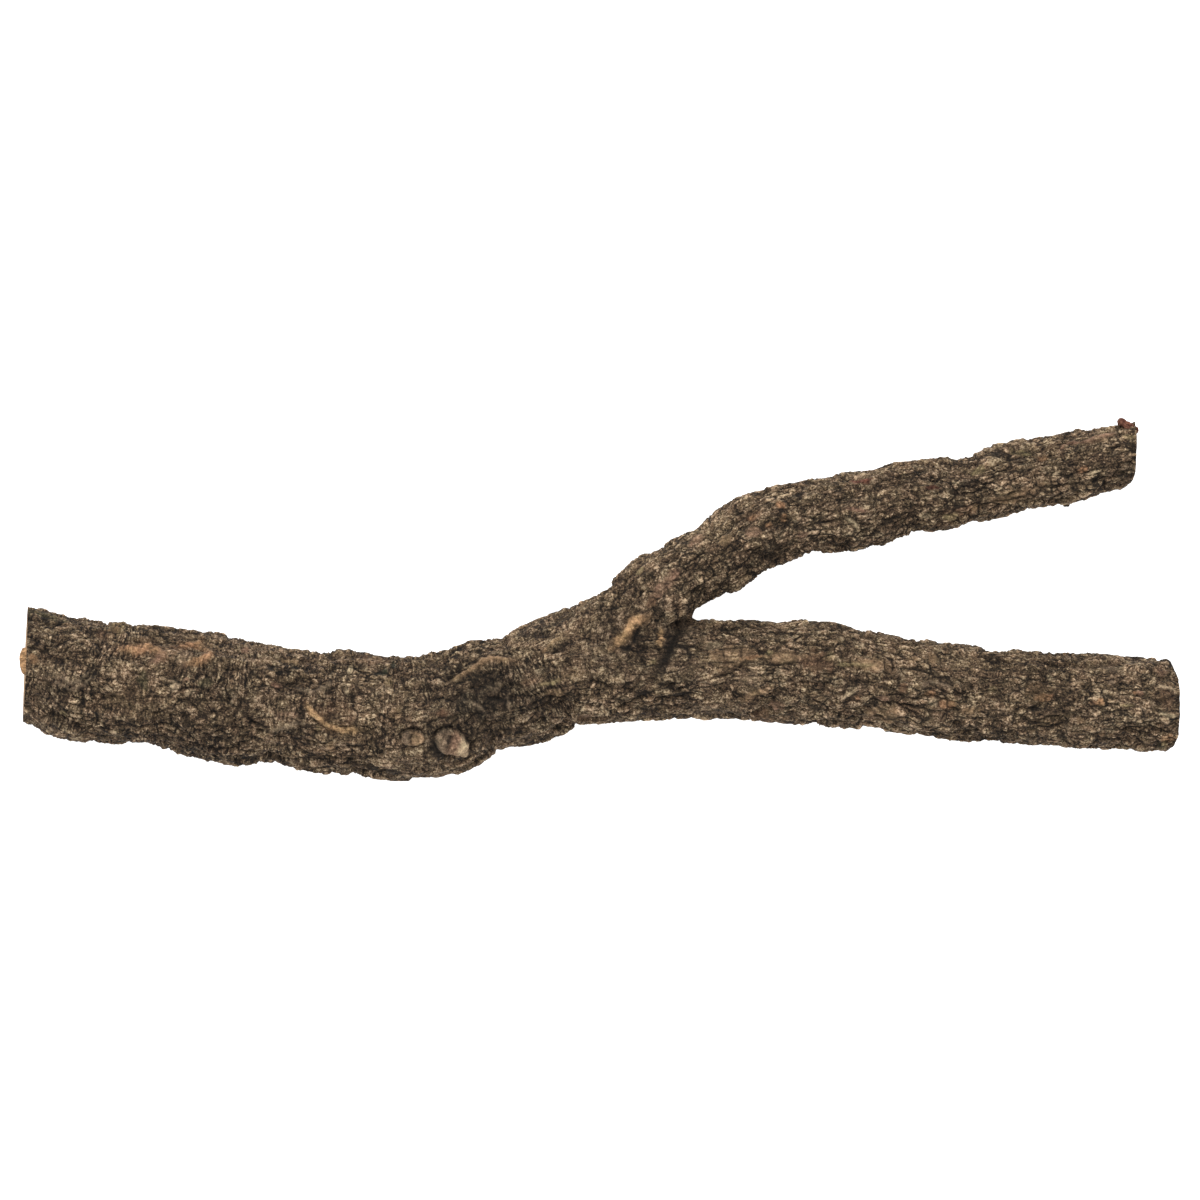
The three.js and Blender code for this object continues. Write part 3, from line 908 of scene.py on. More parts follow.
KNOTS: tuple[Knot, ...] = (
    Knot(-77.2, -73.6, 9.2, 5.9, -24, 3.6, Tint.ASH, Tint.PINK, Tint.CREAM),
    Knot(-97.4, -71.5, 6.0, 3.9, -4, 2.8, Tint.ASH, Tint.TAN),
)
PATCHES: tuple[Patch, ...] = (
    # the trunk's left end
    Patch(-286, -6.5, 11, 3, -8, Tint.LICHEN, 0.6),
    Patch(-251, -13.5, 7, 3.4, 20, Tint.STRAW, 0.55),
    Patch(-255, -15.6, 7, 2.6, 10, Tint.RUST, 0.5),
    Patch(-294.8, -30.7, 2.6, 3.4, 0, Tint.ORANGE, 0.6),
    Patch(-279.8, -60.6, 2.2, 2.2, 0, Tint.STRAW, 0.7),
    Patch(-216, -32, 5.0, 6.5, 0, Tint.ASH, 0.28, lift=-0.5, calm=0.6),
    Patch(-221.3, -44.7, 3.0, 3.4, 0, Tint.CREAM, 0.7),
    Patch(-213.5, -48, 2.6, 1.8, 20, Tint.CREAM, 0.7),
    Patch(-215, -41, 1.6, 1.3, 0, Tint.PINK, 0.9),
    Patch(-238, -42, 3.0, 6.0, 10, Tint.LICHEN, 0.5),
    Patch(-205, -43, 5.0, 2.6, 15, Tint.LICHEN, 0.5),
    Patch(-184.6, -25.7, 2.6, 1.8, 0, Tint.PINK, 0.7),
    Patch(-239, -55, 16, 8, -10, Tint.TAN, 0.2),
    Patch(-285, -45, 9, 12, 0, Tint.ASH, 0.15),
    # the middle of the trunk
    Patch(-168.3, -43.7, 3.2, 1.7, 0, Tint.PINK, 0.85),
    Patch(-129.9, -35.6, 1.3, 2.4, -10, Tint.CREAM, 0.95, lift=0.6),
    Patch(-131.8, -47, 1.2, 1.6, 0, Tint.CREAM, 0.7),
    Patch(-136.5, -59, 12, 6, -10, Tint.RUST, 0.35, calm=0.3),
    Patch(-164, -60.6, 7, 3, 10, Tint.PINK, 0.3),
    Patch(-147, -67.4, 1.8, 1.8, 0, Tint.STRAW, 0.7),
    Patch(-140, -77, 2.4, 3.0, 0, Tint.TAN, 0.6),
    Patch(-157, -69, 7, 4, 0, Tint.UMBER_AND_SHADE, 0.3),
    Patch(-113.6, -37.7, 4.2, 1.6, 5, Tint.MOSS, 0.75),
    Patch(-107.6, -33.4, 1.6, 2.4, 0, Tint.MOSS, 0.75),
    Patch(-109.9, -42, 3, 2, 0, Tint.STRAW, 0.45),
    Patch(-120, -30.4, 12, 4, 0, Tint.RUST, 0.35),
    Patch(-160, -29.8, 9, 1.2, -6, Tint.TAN, 0.6),
    Patch(-127.5, -58.9, 0.7, 1.3, -40, Tint.CREAM, 0.8),
    Patch(-90.4, -59.8, 0.9, 1.1, 20, Tint.CREAM, 0.9),
    Patch(-106, -59, 3.4, 4, 0, Tint.TAN, 0.35),
    # the crook: a broad darker stretch, and painted shade in its hollow, round the larger knot and along a
    # groove
    Patch(-60, -52, 36, 24, 12, Tint.UMBER_AND_SHADE, 0.36),
    Patch(-86, -72, 15, 9, -16, Tint.UMBER_AND_SHADE, 0.3),
    Patch(-85, -77, 5.4, 3.6, -30, Tint.UMBER_AND_SHADE, 0.7, calm=0.4),
    Patch(-81.4, -58.7, 3.4, 3, 0, Tint.RUST, 0.6),
    Patch(-62, -51.5, 14, 11, 10, Tint.UMBER_AND_SHADE, 0.4, lift=-0.7),
    Patch(-55.2, -44.5, 3, 4, 0, Tint.ASH, 0.55),
    Patch(-32.7, -36.8, 1.7, 1.3, 0, Tint.CREAM, 0.85),
    Patch(-22.7, -49.1, 6, 1.9, 3, Tint.TAN, 0.5, lift=0.5, calm=0.4),
    Patch(-37.3, -42.8, 4.2, 2.4, 5, Tint.RUST, 0.45, lift=0.6),
    Patch(-21, -24.2, 5, 2.4, 32, Tint.UMBER_AND_SHADE, 0.5),
    Patch(-6.8, -62.7, 6, 1.6, 2, Tint.RUST, 0.6),
    Patch(-13, -38, 9, 3, 10, Tint.TAN, 0.3),
    # the fork: its colours, and painted shade over it, under its flake and down the valley from the crotch
    Patch(22, -24, 34, 24, 0, Tint.UMBER_AND_SHADE, 0.3),
    Patch(20, 15.8, 2.6, 1.8, 33, Tint.STRAW, 0.8),
    Patch(18.6, -17, 2.0, 5.0, -30, Tint.UMBER_AND_SHADE, 0.85),
    Patch(13.6, -25.2, 4.0, 1.8, 20, Tint.UMBER_AND_SHADE, 0.8),
    Patch(27.8, -31.6, 2.2, 1.5, 20, Tint.STRAW, 0.5),
    Patch(37, -21.7, 3.4, 8.5, -8, Tint.UMBER_AND_SHADE, 0.65),
    Patch(32.5, -34, 3.4, 8.0, -36, Tint.UMBER_AND_SHADE, 0.5),
    Patch(43.3, -24, 2.6, 2.6, 0, Tint.UMBER_AND_SHADE, 0.7),
    Patch(31.6, -19.4, 1.9, 4.2, -6, Tint.AMBER, 0.8, lift=0.6),
    Patch(46.5, -14.6, 6, 3.4, 10, Tint.ASH, 0.3),
    Patch(33, 6.5, 10, 4, 46, Tint.PINK, 0.55, calm=0.3),
    Patch(27, -1, 4, 2.4, 40, Tint.RUST, 0.6),
    Patch(39, 13, 2.6, 4, -10, Tint.PINK, 0.5),
    # the lower limb, from plate to plate
    Patch(68.5, -29.2, 15, 5.2, 0, Tint.TAN, 0.5, lift=0.8, calm=0.45),
    Patch(64, -36, 8, 2.6, 8, Tint.TAN, 0.3, lift=0.4, calm=0.3),
    Patch(59.6, -22.8, 4.6, 2.2, 4, Tint.CREAM, 0.45),
    Patch(78.2, -30.3, 5, 1.0, 10, Tint.ORANGE, 0.7),
    Patch(77.8, -41.9, 7, 6.5, 25, Tint.ASH, 0.3, lift=-0.9, calm=0.75),
    Patch(95.4, -29.9, 11, 3.6, 0, Tint.TAN, 0.6, lift=0.8, calm=0.4),
    Patch(88.1, -27.4, 2.2, 1.5, 0, Tint.STRAW, 0.7),
    Patch(113.4, -32, 10, 6.4, -8, Tint.RUST, 0.55),
    Patch(119, -29, 4, 2.4, 30, Tint.STRAW, 0.3),
    Patch(126.6, -33.7, 4, 0.9, 0, Tint.STRAW, 0.6),
    Patch(141.5, -33.4, 10, 3.4, -3, Tint.TAN, 0.6, lift=0.7, calm=0.4),
    Patch(129.6, -43.4, 16, 3, -2, Tint.UMBER_AND_SHADE, 0.35, lift=-0.4),
    Patch(92.1, -55.3, 5, 2.4, 3, Tint.PINK, 0.55, lift=0.5),
    Patch(85, -61, 5, 3, -10, Tint.RUST, 0.55),
    Patch(147.5, -60.6, 10, 5, 3, Tint.TAN, 0.5, lift=0.5, calm=0.3),
    Patch(71.2, -56.3, 1.2, 2.0, 0, Tint.CREAM, 0.5),
    Patch(146.9, -51, 3.4, 2.0, -10, Tint.PINK, 0.5, lift=0.5, calm=0.4),
    Patch(133.8, -51.6, 1.3, 2.0, 0, Tint.ORANGE, 0.6),
    Patch(147.5, -64.2, 7, 1.1, 3, Tint.TAN, 0.6),
    Patch(173.5, -53.6, 2.7, 2.2, 0, Tint.CREAM, 0.55, lift=0.5),
    Patch(180.8, -54.6, 4.6, 2.8, -4, Tint.ORANGE, 0.6, lift=0.6),
    Patch(192.3, -57.6, 6, 1.6, 5, Tint.TAN, 0.7, lift=0.5),
    Patch(172.3, -48.9, 3.4, 2.4, 0, Tint.ORANGE, 0.5),
    Patch(158, -46.2, 2.6, 3.0, 0, Tint.RUST, 0.7),
    Patch(162.7, -31, 3.8, 2.0, 0, Tint.TAN, 0.5),
    Patch(173.8, -28.9, 2.8, 2.7, 0, Tint.TAN, 0.65),
    Patch(184.6, -36, 1.0, 1.0, 0, Tint.UMBER_AND_SHADE, 0.95),
    Patch(204, -45.3, 3.0, 1.9, 20, Tint.STRAW, 0.5),
    Patch(191, -66.3, 5.6, 1.9, 0, Tint.ASH, 0.4, lift=0.4),
    Patch(231.3, -50.4, 5.6, 2.8, 6, Tint.ORANGE, 0.6, lift=0.5),
    Patch(228, -46, 8, 4, 10, Tint.TAN, 0.35),
    Patch(235, -39.7, 2, 1.6, 0, Tint.CREAM, 0.5),
    Patch(260.3, -52.8, 2.3, 2.3, 30, Tint.ORANGE, 0.95, lift=0.5),
    Patch(256.6, -53.4, 1.6, 1.2, 0, Tint.RUST, 0.9),
    Patch(281.4, -47.9, 1.9, 1.9, 0, Tint.PINK, 0.95, lift=0.4),
    Patch(278.2, -47.8, 0.9, 1.1, 0, Tint.ORANGE, 0.8),
    Patch(266.3, -41.6, 3, 1.4, 0, Tint.ASH, 0.75),
    Patch(273.8, -54.8, 4.6, 0.9, -3, Tint.STRAW, 0.7),
    Patch(295, -50.4, 4.4, 6.4, 0, Tint.RUST, 0.45),
    Patch(291.8, -36.2, 4.2, 2.6, 0, Tint.PINK, 0.4, lift=0.5, calm=0.3),
    Patch(226, -57, 3.2, 1.7, 0, Tint.UMBER_AND_SHADE, 0.85),
    Patch(234, -58.4, 4.6, 2.8, 10, Tint.UMBER_AND_SHADE, 0.35, calm=0.6),
    Patch(233.4, -65.2, 5.6, 1.2, 8, Tint.TAN, 0.5, lift=0.5),
    Patch(250.2, -62.7, 2.2, 1.7, 0, Tint.TAN, 0.7),
    Patch(295.6, -73.6, 4, 3, 0, Tint.ORANGE, 0.5),
    Patch(292.6, -77, 3, 1.6, 0, Tint.STRAW, 0.6),
    Patch(265.9, -71.5, 1.5, 2.0, 0, Tint.TAN, 0.6),
    Patch(261.4, -71.2, 1.6, 2.1, 0, Tint.TAN, 0.5),
    # the upper limb
    Patch(50, 31.6, 5, 2.4, 35, Tint.PINK, 0.5),
    Patch(64.6, 31.6, 3.6, 3.0, 30, Tint.TAN, 0.65, lift=0.5, calm=0.4),
    Patch(79.2, 34.9, 5.2, 2.8, 15, Tint.PINK, 0.6, calm=0.3),
    Patch(79.8, 44.4, 4.8, 3.0, 15, Tint.RUST, 0.55),
    Patch(79, 43.2, 2.2, 1.5, 10, Tint.ORANGE, 0.7),
    Patch(87.6, 38.8, 2.4, 1.7, 30, Tint.ORANGE, 0.6),
    Patch(93.8, 49.1, 2.3, 1.8, 0, Tint.ORANGE, 0.85),
    Patch(95.4, 42.7, 2.2, 2.2, -30, Tint.ORANGE, 0.75),
    Patch(105.5, 33.7, 3, 2.3, 20, Tint.PINK, 0.5),
    Patch(80.3, 17.2, 0.9, 0.9, 0, Tint.CREAM, 1.0),
    Patch(67.9, 18.2, 0.8, 0.8, 0, Tint.CREAM, 0.7),
    Patch(72.6, 46, 2.6, 1.0, 0, Tint.UMBER_AND_SHADE, 0.8),
    Patch(88, 25, 14, 4.4, 22, Tint.UMBER_AND_SHADE, 0.4),
    Patch(135.5, 62.9, 6.2, 1.5, 3, Tint.RED, 0.75),
    Patch(132.1, 61.4, 1.3, 1.1, 0, Tint.PINK, 0.9),
    Patch(196.4, 68.8, 3.6, 2.4, 10, Tint.STRAW, 0.6),
    Patch(169.3, 43.2, 3.4, 2.0, 10, Tint.CREAM, 0.6),
    Patch(184.6, 61.9, 1.6, 0.8, 0, Tint.CREAM, 0.85),
    Patch(173, 58.4, 3.6, 1.1, 3, Tint.RED, 0.65),
    Patch(188.8, 45.4, 12, 4.4, 12, Tint.RUST, 0.45),
    Patch(196.1, 46.8, 3.6, 1.9, 8, Tint.TAN, 0.75),
    Patch(182, 42.4, 4.2, 1.9, 10, Tint.STRAW, 0.65),
    Patch(211, 50.5, 3.4, 2.4, 12, Tint.TAN, 0.7),
    Patch(191, 61, 4.6, 2.4, 8, Tint.UMBER_AND_SHADE, 0.55),
    Patch(218.7, 79.1, 6.4, 1.5, 3, Tint.STRAW, 0.7),
    Patch(230.7, 75.5, 2.9, 1.7, 0, Tint.ORANGE, 0.55),
    Patch(219, 74.4, 4.4, 2.0, 5, Tint.UMBER_AND_SHADE, 0.65),
    Patch(214.3, 53.4, 10, 3.6, 12, Tint.TAN, 0.6, lift=0.5, calm=0.3),
    Patch(237, 64.9, 2, 1.5, 0, Tint.CREAM, 0.6),
    Patch(232.6, 59.7, 4, 1.6, 10, Tint.TAN, 0.45),
    Patch(251, 67.1, 3.4, 2.0, 33, Tint.ORANGE, 0.9, lift=0.6),
    Patch(257, 65.4, 3.8, 1.5, 14, Tint.CREAM, 0.4),
    Patch(267.6, 76.4, 2.3, 1.4, 40, Tint.ASH, 0.6),
    Patch(244.7, 70.3, 1.2, 1.0, 0, Tint.UMBER_AND_SHADE, 0.95),
    Patch(252.3, 70.6, 1.0, 1.0, 0, Tint.UMBER_AND_SHADE, 0.95),
    Patch(224.4, 68.2, 1.6, 1.0, 0, Tint.UMBER_AND_SHADE, 0.9),
    Patch(257, 84.2, 8, 1.8, 8, Tint.RUST, 0.4),
    Patch(274.6, 86, 3.6, 2.0, -10, Tint.STRAW, 0.6),
)


@dataclass(frozen=True)
class BranchForm:
    """The whole branch's surface: both stems run smoothly into each other and carry the bark."""

    pattern: BarkPattern = BarkPattern()
    fillet: float = 5.0
    bark_blend: float = 5.0

    def meet(self, points: Array) -> tuple[StemPlaces, StemPlaces, Array, Array, Array]:
        """Finds points on both stems, and how the two run into each other there.

        Args:
            points: One row of x, y and z for each point.

        Returns:
            The places on the stem and on the limb, the distance off the joined surface, the way out of it,
            and the limb's share of the bark, from 0 to 1.
        """
        stem = STEM.locate(points)
        limb = LIMB.locate(points)
        apart = stem.off - limb.off
        overlap = np.maximum(self.fillet - np.abs(apart), 0) / self.fillet
        off = np.minimum(stem.off, limb.off) - overlap**2 * self.fillet / 4
        lean = ramp(-self.fillet, self.fillet, apart)[:, None]
        outward = stem.outward * (1 - lean) + limb.outward * lean
        outward /= np.linalg.norm(outward, axis=1)[:, None]
        limb_share = ramp(-self.bark_blend, self.bark_blend, apart)
        return stem, limb, off, outward, limb_share

    def settle(self, points: Array, rounds: int = 3) -> Array:
        """Moves points onto the smooth joined surface."""
        for _ in range(rounds):
            _, _, off, outward, _ = self.meet(points)
            points = points - outward * off[:, None]
        return points

    def bark(self, points: Array) -> tuple[Array, Surface]:
        """Raises the bark on points of the smooth surface.

        Args:
            points: One row of x, y and z for each point of the smooth surface.

        Returns:
            The points on the bark, and the bark's surface there.
        """
        stem, limb, _, outward, limb_share = self.meet(points)
        mixed = np.zeros((4, len(points)))
        for places, swellings, seed, share in (
            (stem, STEM.swellings, 11, 1 - limb_share),
            (limb, LIMB.swellings, 57, limb_share),
        ):
            near = share > 0
            places = places.where(near)
            broad, plates = self.pattern.broad(places, swellings)
            high, low, wear_and_highlight, crack_shade = self.pattern.fine(places, plates, seed)
            mixed[:, near] += share[near] * np.stack([high + broad, low, wear_and_highlight, crack_shade])
        wrinkled = 1 - 0.8 * ramp(-30, 40, points[:, 0])
        surface = Surface(*mixed, np.zeros((len(points), 4)), np.zeros(len(points)), wrinkled)
        spread = EYE_HEIGHT / (EYE_HEIGHT - (points[:, 2] - MIDDLE_HEIGHT))
        on_top = ramp(0.05, 0.3, outward[:, 2])
        self.add_features(surface, points[:, :2] * spread[:, None], on_top)
        barked = points + outward * (surface.high + surface.low)[:, None]
        barked[:, 2] = np.maximum(barked[:, 2], 0.0)
        return barked, surface

    def add_features(self, surface: Surface, plan: Array, on_top: Array) -> None:
        """Adds the single strokes, knots and patches that the upper side has.

        Args:
            surface: The bark, which takes them.
            plan: Each point's x and y as seen from above.
            on_top: 1 where a point faces up, 0 where it can't be seen from above.
        """
        for patch in PATCHES:
            near = self.near(plan, patch.x, patch.y, 1.6 * max(patch.long, patch.wide) + 2)
            share = patch.share(plan[near]) * on_top[near]
            surface.high[near] += patch.lift * share
            surface.low[near] *= 1 - patch.calm * share
            surface.crack_shade[near] *= 1 - patch.calm * share
            surface.raise_to("calm", near, patch.quiet() * share)
            surface.stain(near, patch.tint, min(0.95, 1.2 * patch.strength) * share)
        for stroke in STROKES:
            middle = np.mean(stroke.chain, axis=0)
            reach = np.abs(np.array(stroke.chain) - middle).max() + 4 * stroke.half_width + 2
            near = self.near(plan, middle[0], middle[1], reach)
            stroke.carve(surface, near, plan[near], on_top[near])
        for knot in KNOTS:
            near = self.near(plan, knot.x, knot.y, 2.2 * knot.long)
            knot.swell(surface, near, plan[near], on_top[near])

    def near(self, plan: Array, x: float, y: float, reach: float) -> Array:
        """The numbers of the points that are within reach of a place in plan, on either axis."""
        return np.flatnonzero((np.abs(plan[:, 0] - x) < reach) & (np.abs(plan[:, 1] - y) < reach))


FORM = BranchForm()


class NodeSheet:
    """Puts nodes into a node tree and joins them."""

    def __init__(self, tree: bpy.types.NodeTree) -> None:
        """Takes the tree that the nodes go into."""
        self.tree = tree

    def add(self, kind: str, inputs: dict | None = None, **settings: object) -> bpy.types.Node:
        """Adds one node.

        Args:
            kind: The node's type in Blender.
            inputs: Its inputs, from a socket's name or number to a value or to another node's socket.
            **settings: Its properties.

        Returns:
            The new node.
        """
        node = self.tree.nodes.new(kind)
        for name, value in settings.items():
            setattr(node, name, value)
        for name, value in (inputs or {}).items():
            if isinstance(value, bpy.types.NodeSocket):
                self.tree.links.new(value, node.inputs[name])
            else:
                node.inputs[name].default_value = value
        return node

    def math(self, operation: str, *values: object) -> Socket:
        """Adds a Math node on up to three values or sockets, and gives its result."""
        return self.add("ShaderNodeMath", dict(enumerate(values)), operation=operation).outputs[0]

    def times(self, product: object, *others: object) -> Socket:
        """Multiplies values, and gives the product."""
        for other in others:
            product = self.math("MULTIPLY", product, other)
        return product

    def weigh(self, total: object, *terms: tuple[Socket, object]) -> Socket:
        """Adds values to a first one, each multiplied by its weight, and gives the total."""
        for value, weight in terms:
            total = self.math("MULTIPLY_ADD", value, weight, total)
        return total

    def vector(self, operation: str, *values: object) -> bpy.types.Node:
        """Adds a Vector Math node on up to three values or sockets."""
        return self.add("ShaderNodeVectorMath", dict(enumerate(values)), operation=operation)

    def noise(self, place: Socket, scale: float, detail: float) -> bpy.types.Node:
        """Adds a noise, with a value and a colour at each place."""
        return self.add("ShaderNodeTexNoise", {"Vector": place, "Scale": scale, "Detail": detail})

    def spread(self, value: Socket, low: float, high: float, least: float, most: float) -> Socket:
        """Maps a value from between low and high to between least and most, and gives it."""
        return self.add("ShaderNodeMapRange", {0: value, 1: low, 2: high, 3: least, 4: most}).outputs[0]

    def mix(self, share: object, first: object, second: object, blend: str = "MIX") -> Socket:
        """Mixes two colours by a share from 0 to 1, and gives the mixed colour."""
        inputs = {0: share, 6: first, 7: second}
        settings = {"data_type": "RGBA", "blend_type": blend, "clamp_factor": True}
        return self.add("ShaderNodeMix", inputs, **settings).outputs[2]

    def ramp(self, value: Socket, stops: tuple[tuple[float, Colour], ...]) -> Socket:
        """Turns a value into a colour by a ramp of stops, in sRGB, and gives the colour."""
        node = self.add("ShaderNodeValToRGB", {0: value})
        elements = node.color_ramp.elements
        while len(elements) < len(stops):
            elements.new(0.5)
        for element, (place, colour) in zip(elements, stops):
            element.position = place
            element.color = srgb(*colour)
        return node.outputs[0]

    def finish(
        self, colour: Socket, roughness: float, height: Socket, strength: float, depth: float
    ) -> None:
        """Ends a material with a dry skin.

        Args:
            colour: The skin's colour.
            roughness: Its roughness.
            height: The height of its relief.
            strength: How much the relief counts, from 0 to 1.
            depth: How high a relief of 1 is, in metres.
        """
        relief = {"Strength": strength, "Distance": depth, "Height": height}
        skin = self.add("ShaderNodeBsdfPrincipled", {
            "Base Color": colour,
            "Roughness": roughness,
            "Specular IOR Level": 0.25,
            "Normal": self.add("ShaderNodeBump", relief).outputs[0],
        })
        self.add("ShaderNodeOutputMaterial", {"Surface": skin.outputs[0]})


def empty_material(name: str) -> tuple[bpy.types.Material, NodeSheet]:
    """Makes a material without nodes, and the sheet that its nodes go on."""
    material = bpy.data.materials.new(name)
    material.use_nodes = True
    material.node_tree.nodes.clear()
    return material, NodeSheet(material.node_tree)


@dataclass(frozen=True)
class GrainGroup:
    """A node group for a dry, gritty surface: its speckle and its height, in any material."""

    name: str = "gritty_grain"

    def get(self) -> bpy.types.NodeTree:
        """Builds the group once, and gives it each time."""
        if self.name in bpy.data.node_groups:
            return bpy.data.node_groups[self.name]
        tree = bpy.data.node_groups.new(self.name, "ShaderNodeTree")
        tree.interface.new_socket("Place", in_out="INPUT", socket_type="NodeSocketVector")
        size = tree.interface.new_socket("Grain Size", in_out="INPUT", socket_type="NodeSocketFloat")
        size.default_value = 0.001
        for output in ("Speckle", "Height"):
            tree.interface.new_socket(output, in_out="OUTPUT", socket_type="NodeSocketFloat")
        sheet = NodeSheet(tree)
        given = sheet.add("NodeGroupInput").outputs
        shrink = sheet.math("DIVIDE", 1.0, given["Grain Size"])
        steps = sheet.add("ShaderNodeCombineXYZ", {0: shrink, 1: shrink, 2: shrink}).outputs[0]
        place = sheet.vector("MULTIPLY", given["Place"], steps).outputs[0]
        grit = sheet.noise(place, 1.0, 3.0)
        grit.inputs["Roughness"].default_value = 0.75
        specks = sheet.noise(place, 2.3, 1.0)
        warp = sheet.noise(place, 0.35, 2.0).outputs[1]
        moved = sheet.vector("MULTIPLY_ADD", warp, (1.6, 1.6, 1.6), place).outputs[0]
        torn = {"Vector": moved, "Scale": 0.42}
        cracks = sheet.add("ShaderNodeTexVoronoi", torn, feature="DISTANCE_TO_EDGE").outputs[0]
        hair_crack = sheet.spread(cracks, 0.02, 0.1, 1.0, 0.0)
        blend = sheet.math("MULTIPLY_ADD", specks.outputs[0], 0.5, sheet.times(grit.outputs[0], 0.5))
        smooth = sheet.spread(blend, 0.36, 0.66, 0.0, 1.0)
        crumbs = sheet.add("ShaderNodeTexVoronoi", {"Vector": place, "Scale": 1.5, "Randomness": 1.0})
        crumb = sheet.add("ShaderNodeSeparateColor", {0: crumbs.outputs["Color"]}).outputs[0]
        speckle = sheet.math("MULTIPLY_ADD", crumb, 0.6, sheet.times(smooth, 0.4))
        height = sheet.math("MULTIPLY_ADD", hair_crack, -0.6, speckle)
        sheet.add("NodeGroupOutput", {"Speckle": speckle, "Height": height})
        return tree

    def put(self, sheet: NodeSheet, place: Socket, size: float) -> bpy.types.Node:
        """Puts the group into a material, with the coordinates it lies on and a grain's size in metres."""
        return sheet.add("ShaderNodeGroup", {"Place": place, "Grain Size": size}, node_tree=self.get())


GRAIN = GrainGroup()


@dataclass(frozen=True)
class CorkBark:
    """The finish of the bark: dry, rough cork, grey-brown in its hollows and tan on the plates that wear,
    with painted highlight where it stands high and painted shade in its hollows and fissures.

    Sizes are in metres, along the straightened stem and round it.
    """

    name: str = "cork_bark"
    pit: Colour = (30, 23, 17)
    hollow: Colour = (72, 57, 44)
    body: Colour = (112, 92, 71)
    plate: Colour = (148, 124, 98)
    # the lightest tone, for worn plates and for painted highlight
    worn_and_highlight: Colour = (212, 186, 154)
    # the near-black colour of the painted shade in fissures and grooves
    crack_shade: Colour = (11, 8, 5)
    olive: tuple[float, float, float, float] = (0.985, 1.0, 0.95, 1.0)
    rosy: tuple[float, float, float, float] = (1.03, 0.985, 0.97, 1.0)
    roughness: float = 0.9
    relief: float = 0.0011
    grain: float = 0.0011
    drift: float = 0.0034
    scale: tuple[float, float] = (0.0088, 0.0044)
    block: tuple[float, float] = (0.0034, 0.0027)
    crease: tuple[float, float] = (0.0027, 0.0080)
    wrinkle: tuple[float, float] = (0.0012, 0.0050)
    fibre: tuple[float, float] = (0.0055, 0.0012)

    def material(self) -> bpy.types.Material:
        """Builds the material."""
        material, sheet = empty_material(self.name)
        place = sheet.add("ShaderNodeTexCoord").outputs["Object"]
        lie = self.mask(sheet, "lie").outputs["Vector"]
        tint = self.mask(sheet, "tint")
        wear_and_highlight, crack_shade, calm, creased = (
            self.mask(sheet, name).outputs["Fac"] for name in ("wear_and_highlight", "crack_shade", "calm", "wrinkled")
        )
        wild = sheet.math("SUBTRACT", 1.0, calm)
        speckle = GRAIN.put(sheet, place, self.grain).outputs["Speckle"]
        drift = (self.drift, self.drift, self.drift)
        warp = sheet.noise(place, 230.0, 3.0).outputs[1]
        moved = sheet.vector("MULTIPLY_ADD", warp, drift, lie).outputs[0]

        # the cells of the bark, and where each kind shows
        scales = self.cells(sheet, moved, self.scale)
        blocks = self.cells(sheet, moved, self.block)
        creases = self.cells(sheet, moved, self.crease)
        parted = sheet.times(self.patches(sheet, place, 75.0, 0.4, 1.0), sheet.weigh(1.0, (creased, -0.5)))
        crazed = self.patches(sheet, place, 95.0, 0.0, 0.9)
        wrinkled = sheet.times(self.patches(sheet, place, 60.0, 0.3, 1.0), creased)
        gaps = sheet.times(scales["gap"], parted, wild)
        folds = sheet.times(creases["gap"], wrinkled)
        splits = sheet.times(sheet.math("MAXIMUM", sheet.times(blocks["gap"], crazed), folds), wild)

        # the tone, from the broad forms down to the grit
        wrinkles = sheet.times(self.streaks(sheet, moved, self.wrinkle), wrinkled)
        fibres = sheet.times(self.streaks(sheet, moved, self.fibre), sheet.weigh(0.6, (wrinkled, -0.5)))
        fine = sheet.weigh(sheet.times(sheet.math("ADD", wrinkles, fibres), 2.4), (speckle, 1.0))
        levels = sheet.weigh(sheet.times(blocks["level"], 0.12), (scales["level"], 0.18))
        broad = sheet.noise(place, 70.0, 3.0).outputs[0]
        # high places are lighter and low ones darker, as wear and as painted highlight and shade
        tone = sheet.weigh(-0.35, (creased, -0.07), (broad, 0.3), (wear_and_highlight, 0.45), (levels, wild), (fine, 1.0))

        # the colours
        tones = zip((0.0, 0.25, 0.5, 0.75, 1.0), (self.pit, self.hollow, self.body, self.plate, self.worn_and_highlight))
        colour = sheet.ramp(tone, tuple(tones))
        shade = sheet.weigh(0.3, (fine, 0.9), (wear_and_highlight, 0.5))
        grey = sheet.add("ShaderNodeCombineColor", {0: shade, 1: shade, 2: shade}).outputs[0]
        tinted = sheet.mix(1.0, tint.outputs["Color"], grey, "MULTIPLY")
        colour = sheet.mix(tint.outputs["Alpha"], colour, tinted)
        hue = sheet.mix(self.patches(sheet, place, 160.0, 0.0, 1.0), self.olive, self.rosy)
        colour = sheet.mix(1.0, colour, hue, "MULTIPLY")
        # fissures, grooves and hair cracks are darkened with painted shade
        thin = sheet.math("MAXIMUM", gaps, sheet.times(splits, 0.8))
        dark = sheet.math("MAXIMUM", sheet.times(crack_shade, 0.9), thin)
        colour = sheet.mix(dark, colour, srgb(*self.crack_shade))

        height = sheet.weigh(scales["top"], (gaps, -0.9), (fine, 0.7), (splits, -0.5))
        sheet.finish(colour, self.roughness, height, 1.0, self.relief)
        return material

    def mask(self, sheet: NodeSheet, name: str) -> bpy.types.Node:
        """Reads one of the masks that are kept on the mesh."""
        return sheet.add("ShaderNodeAttribute", attribute_name=name)

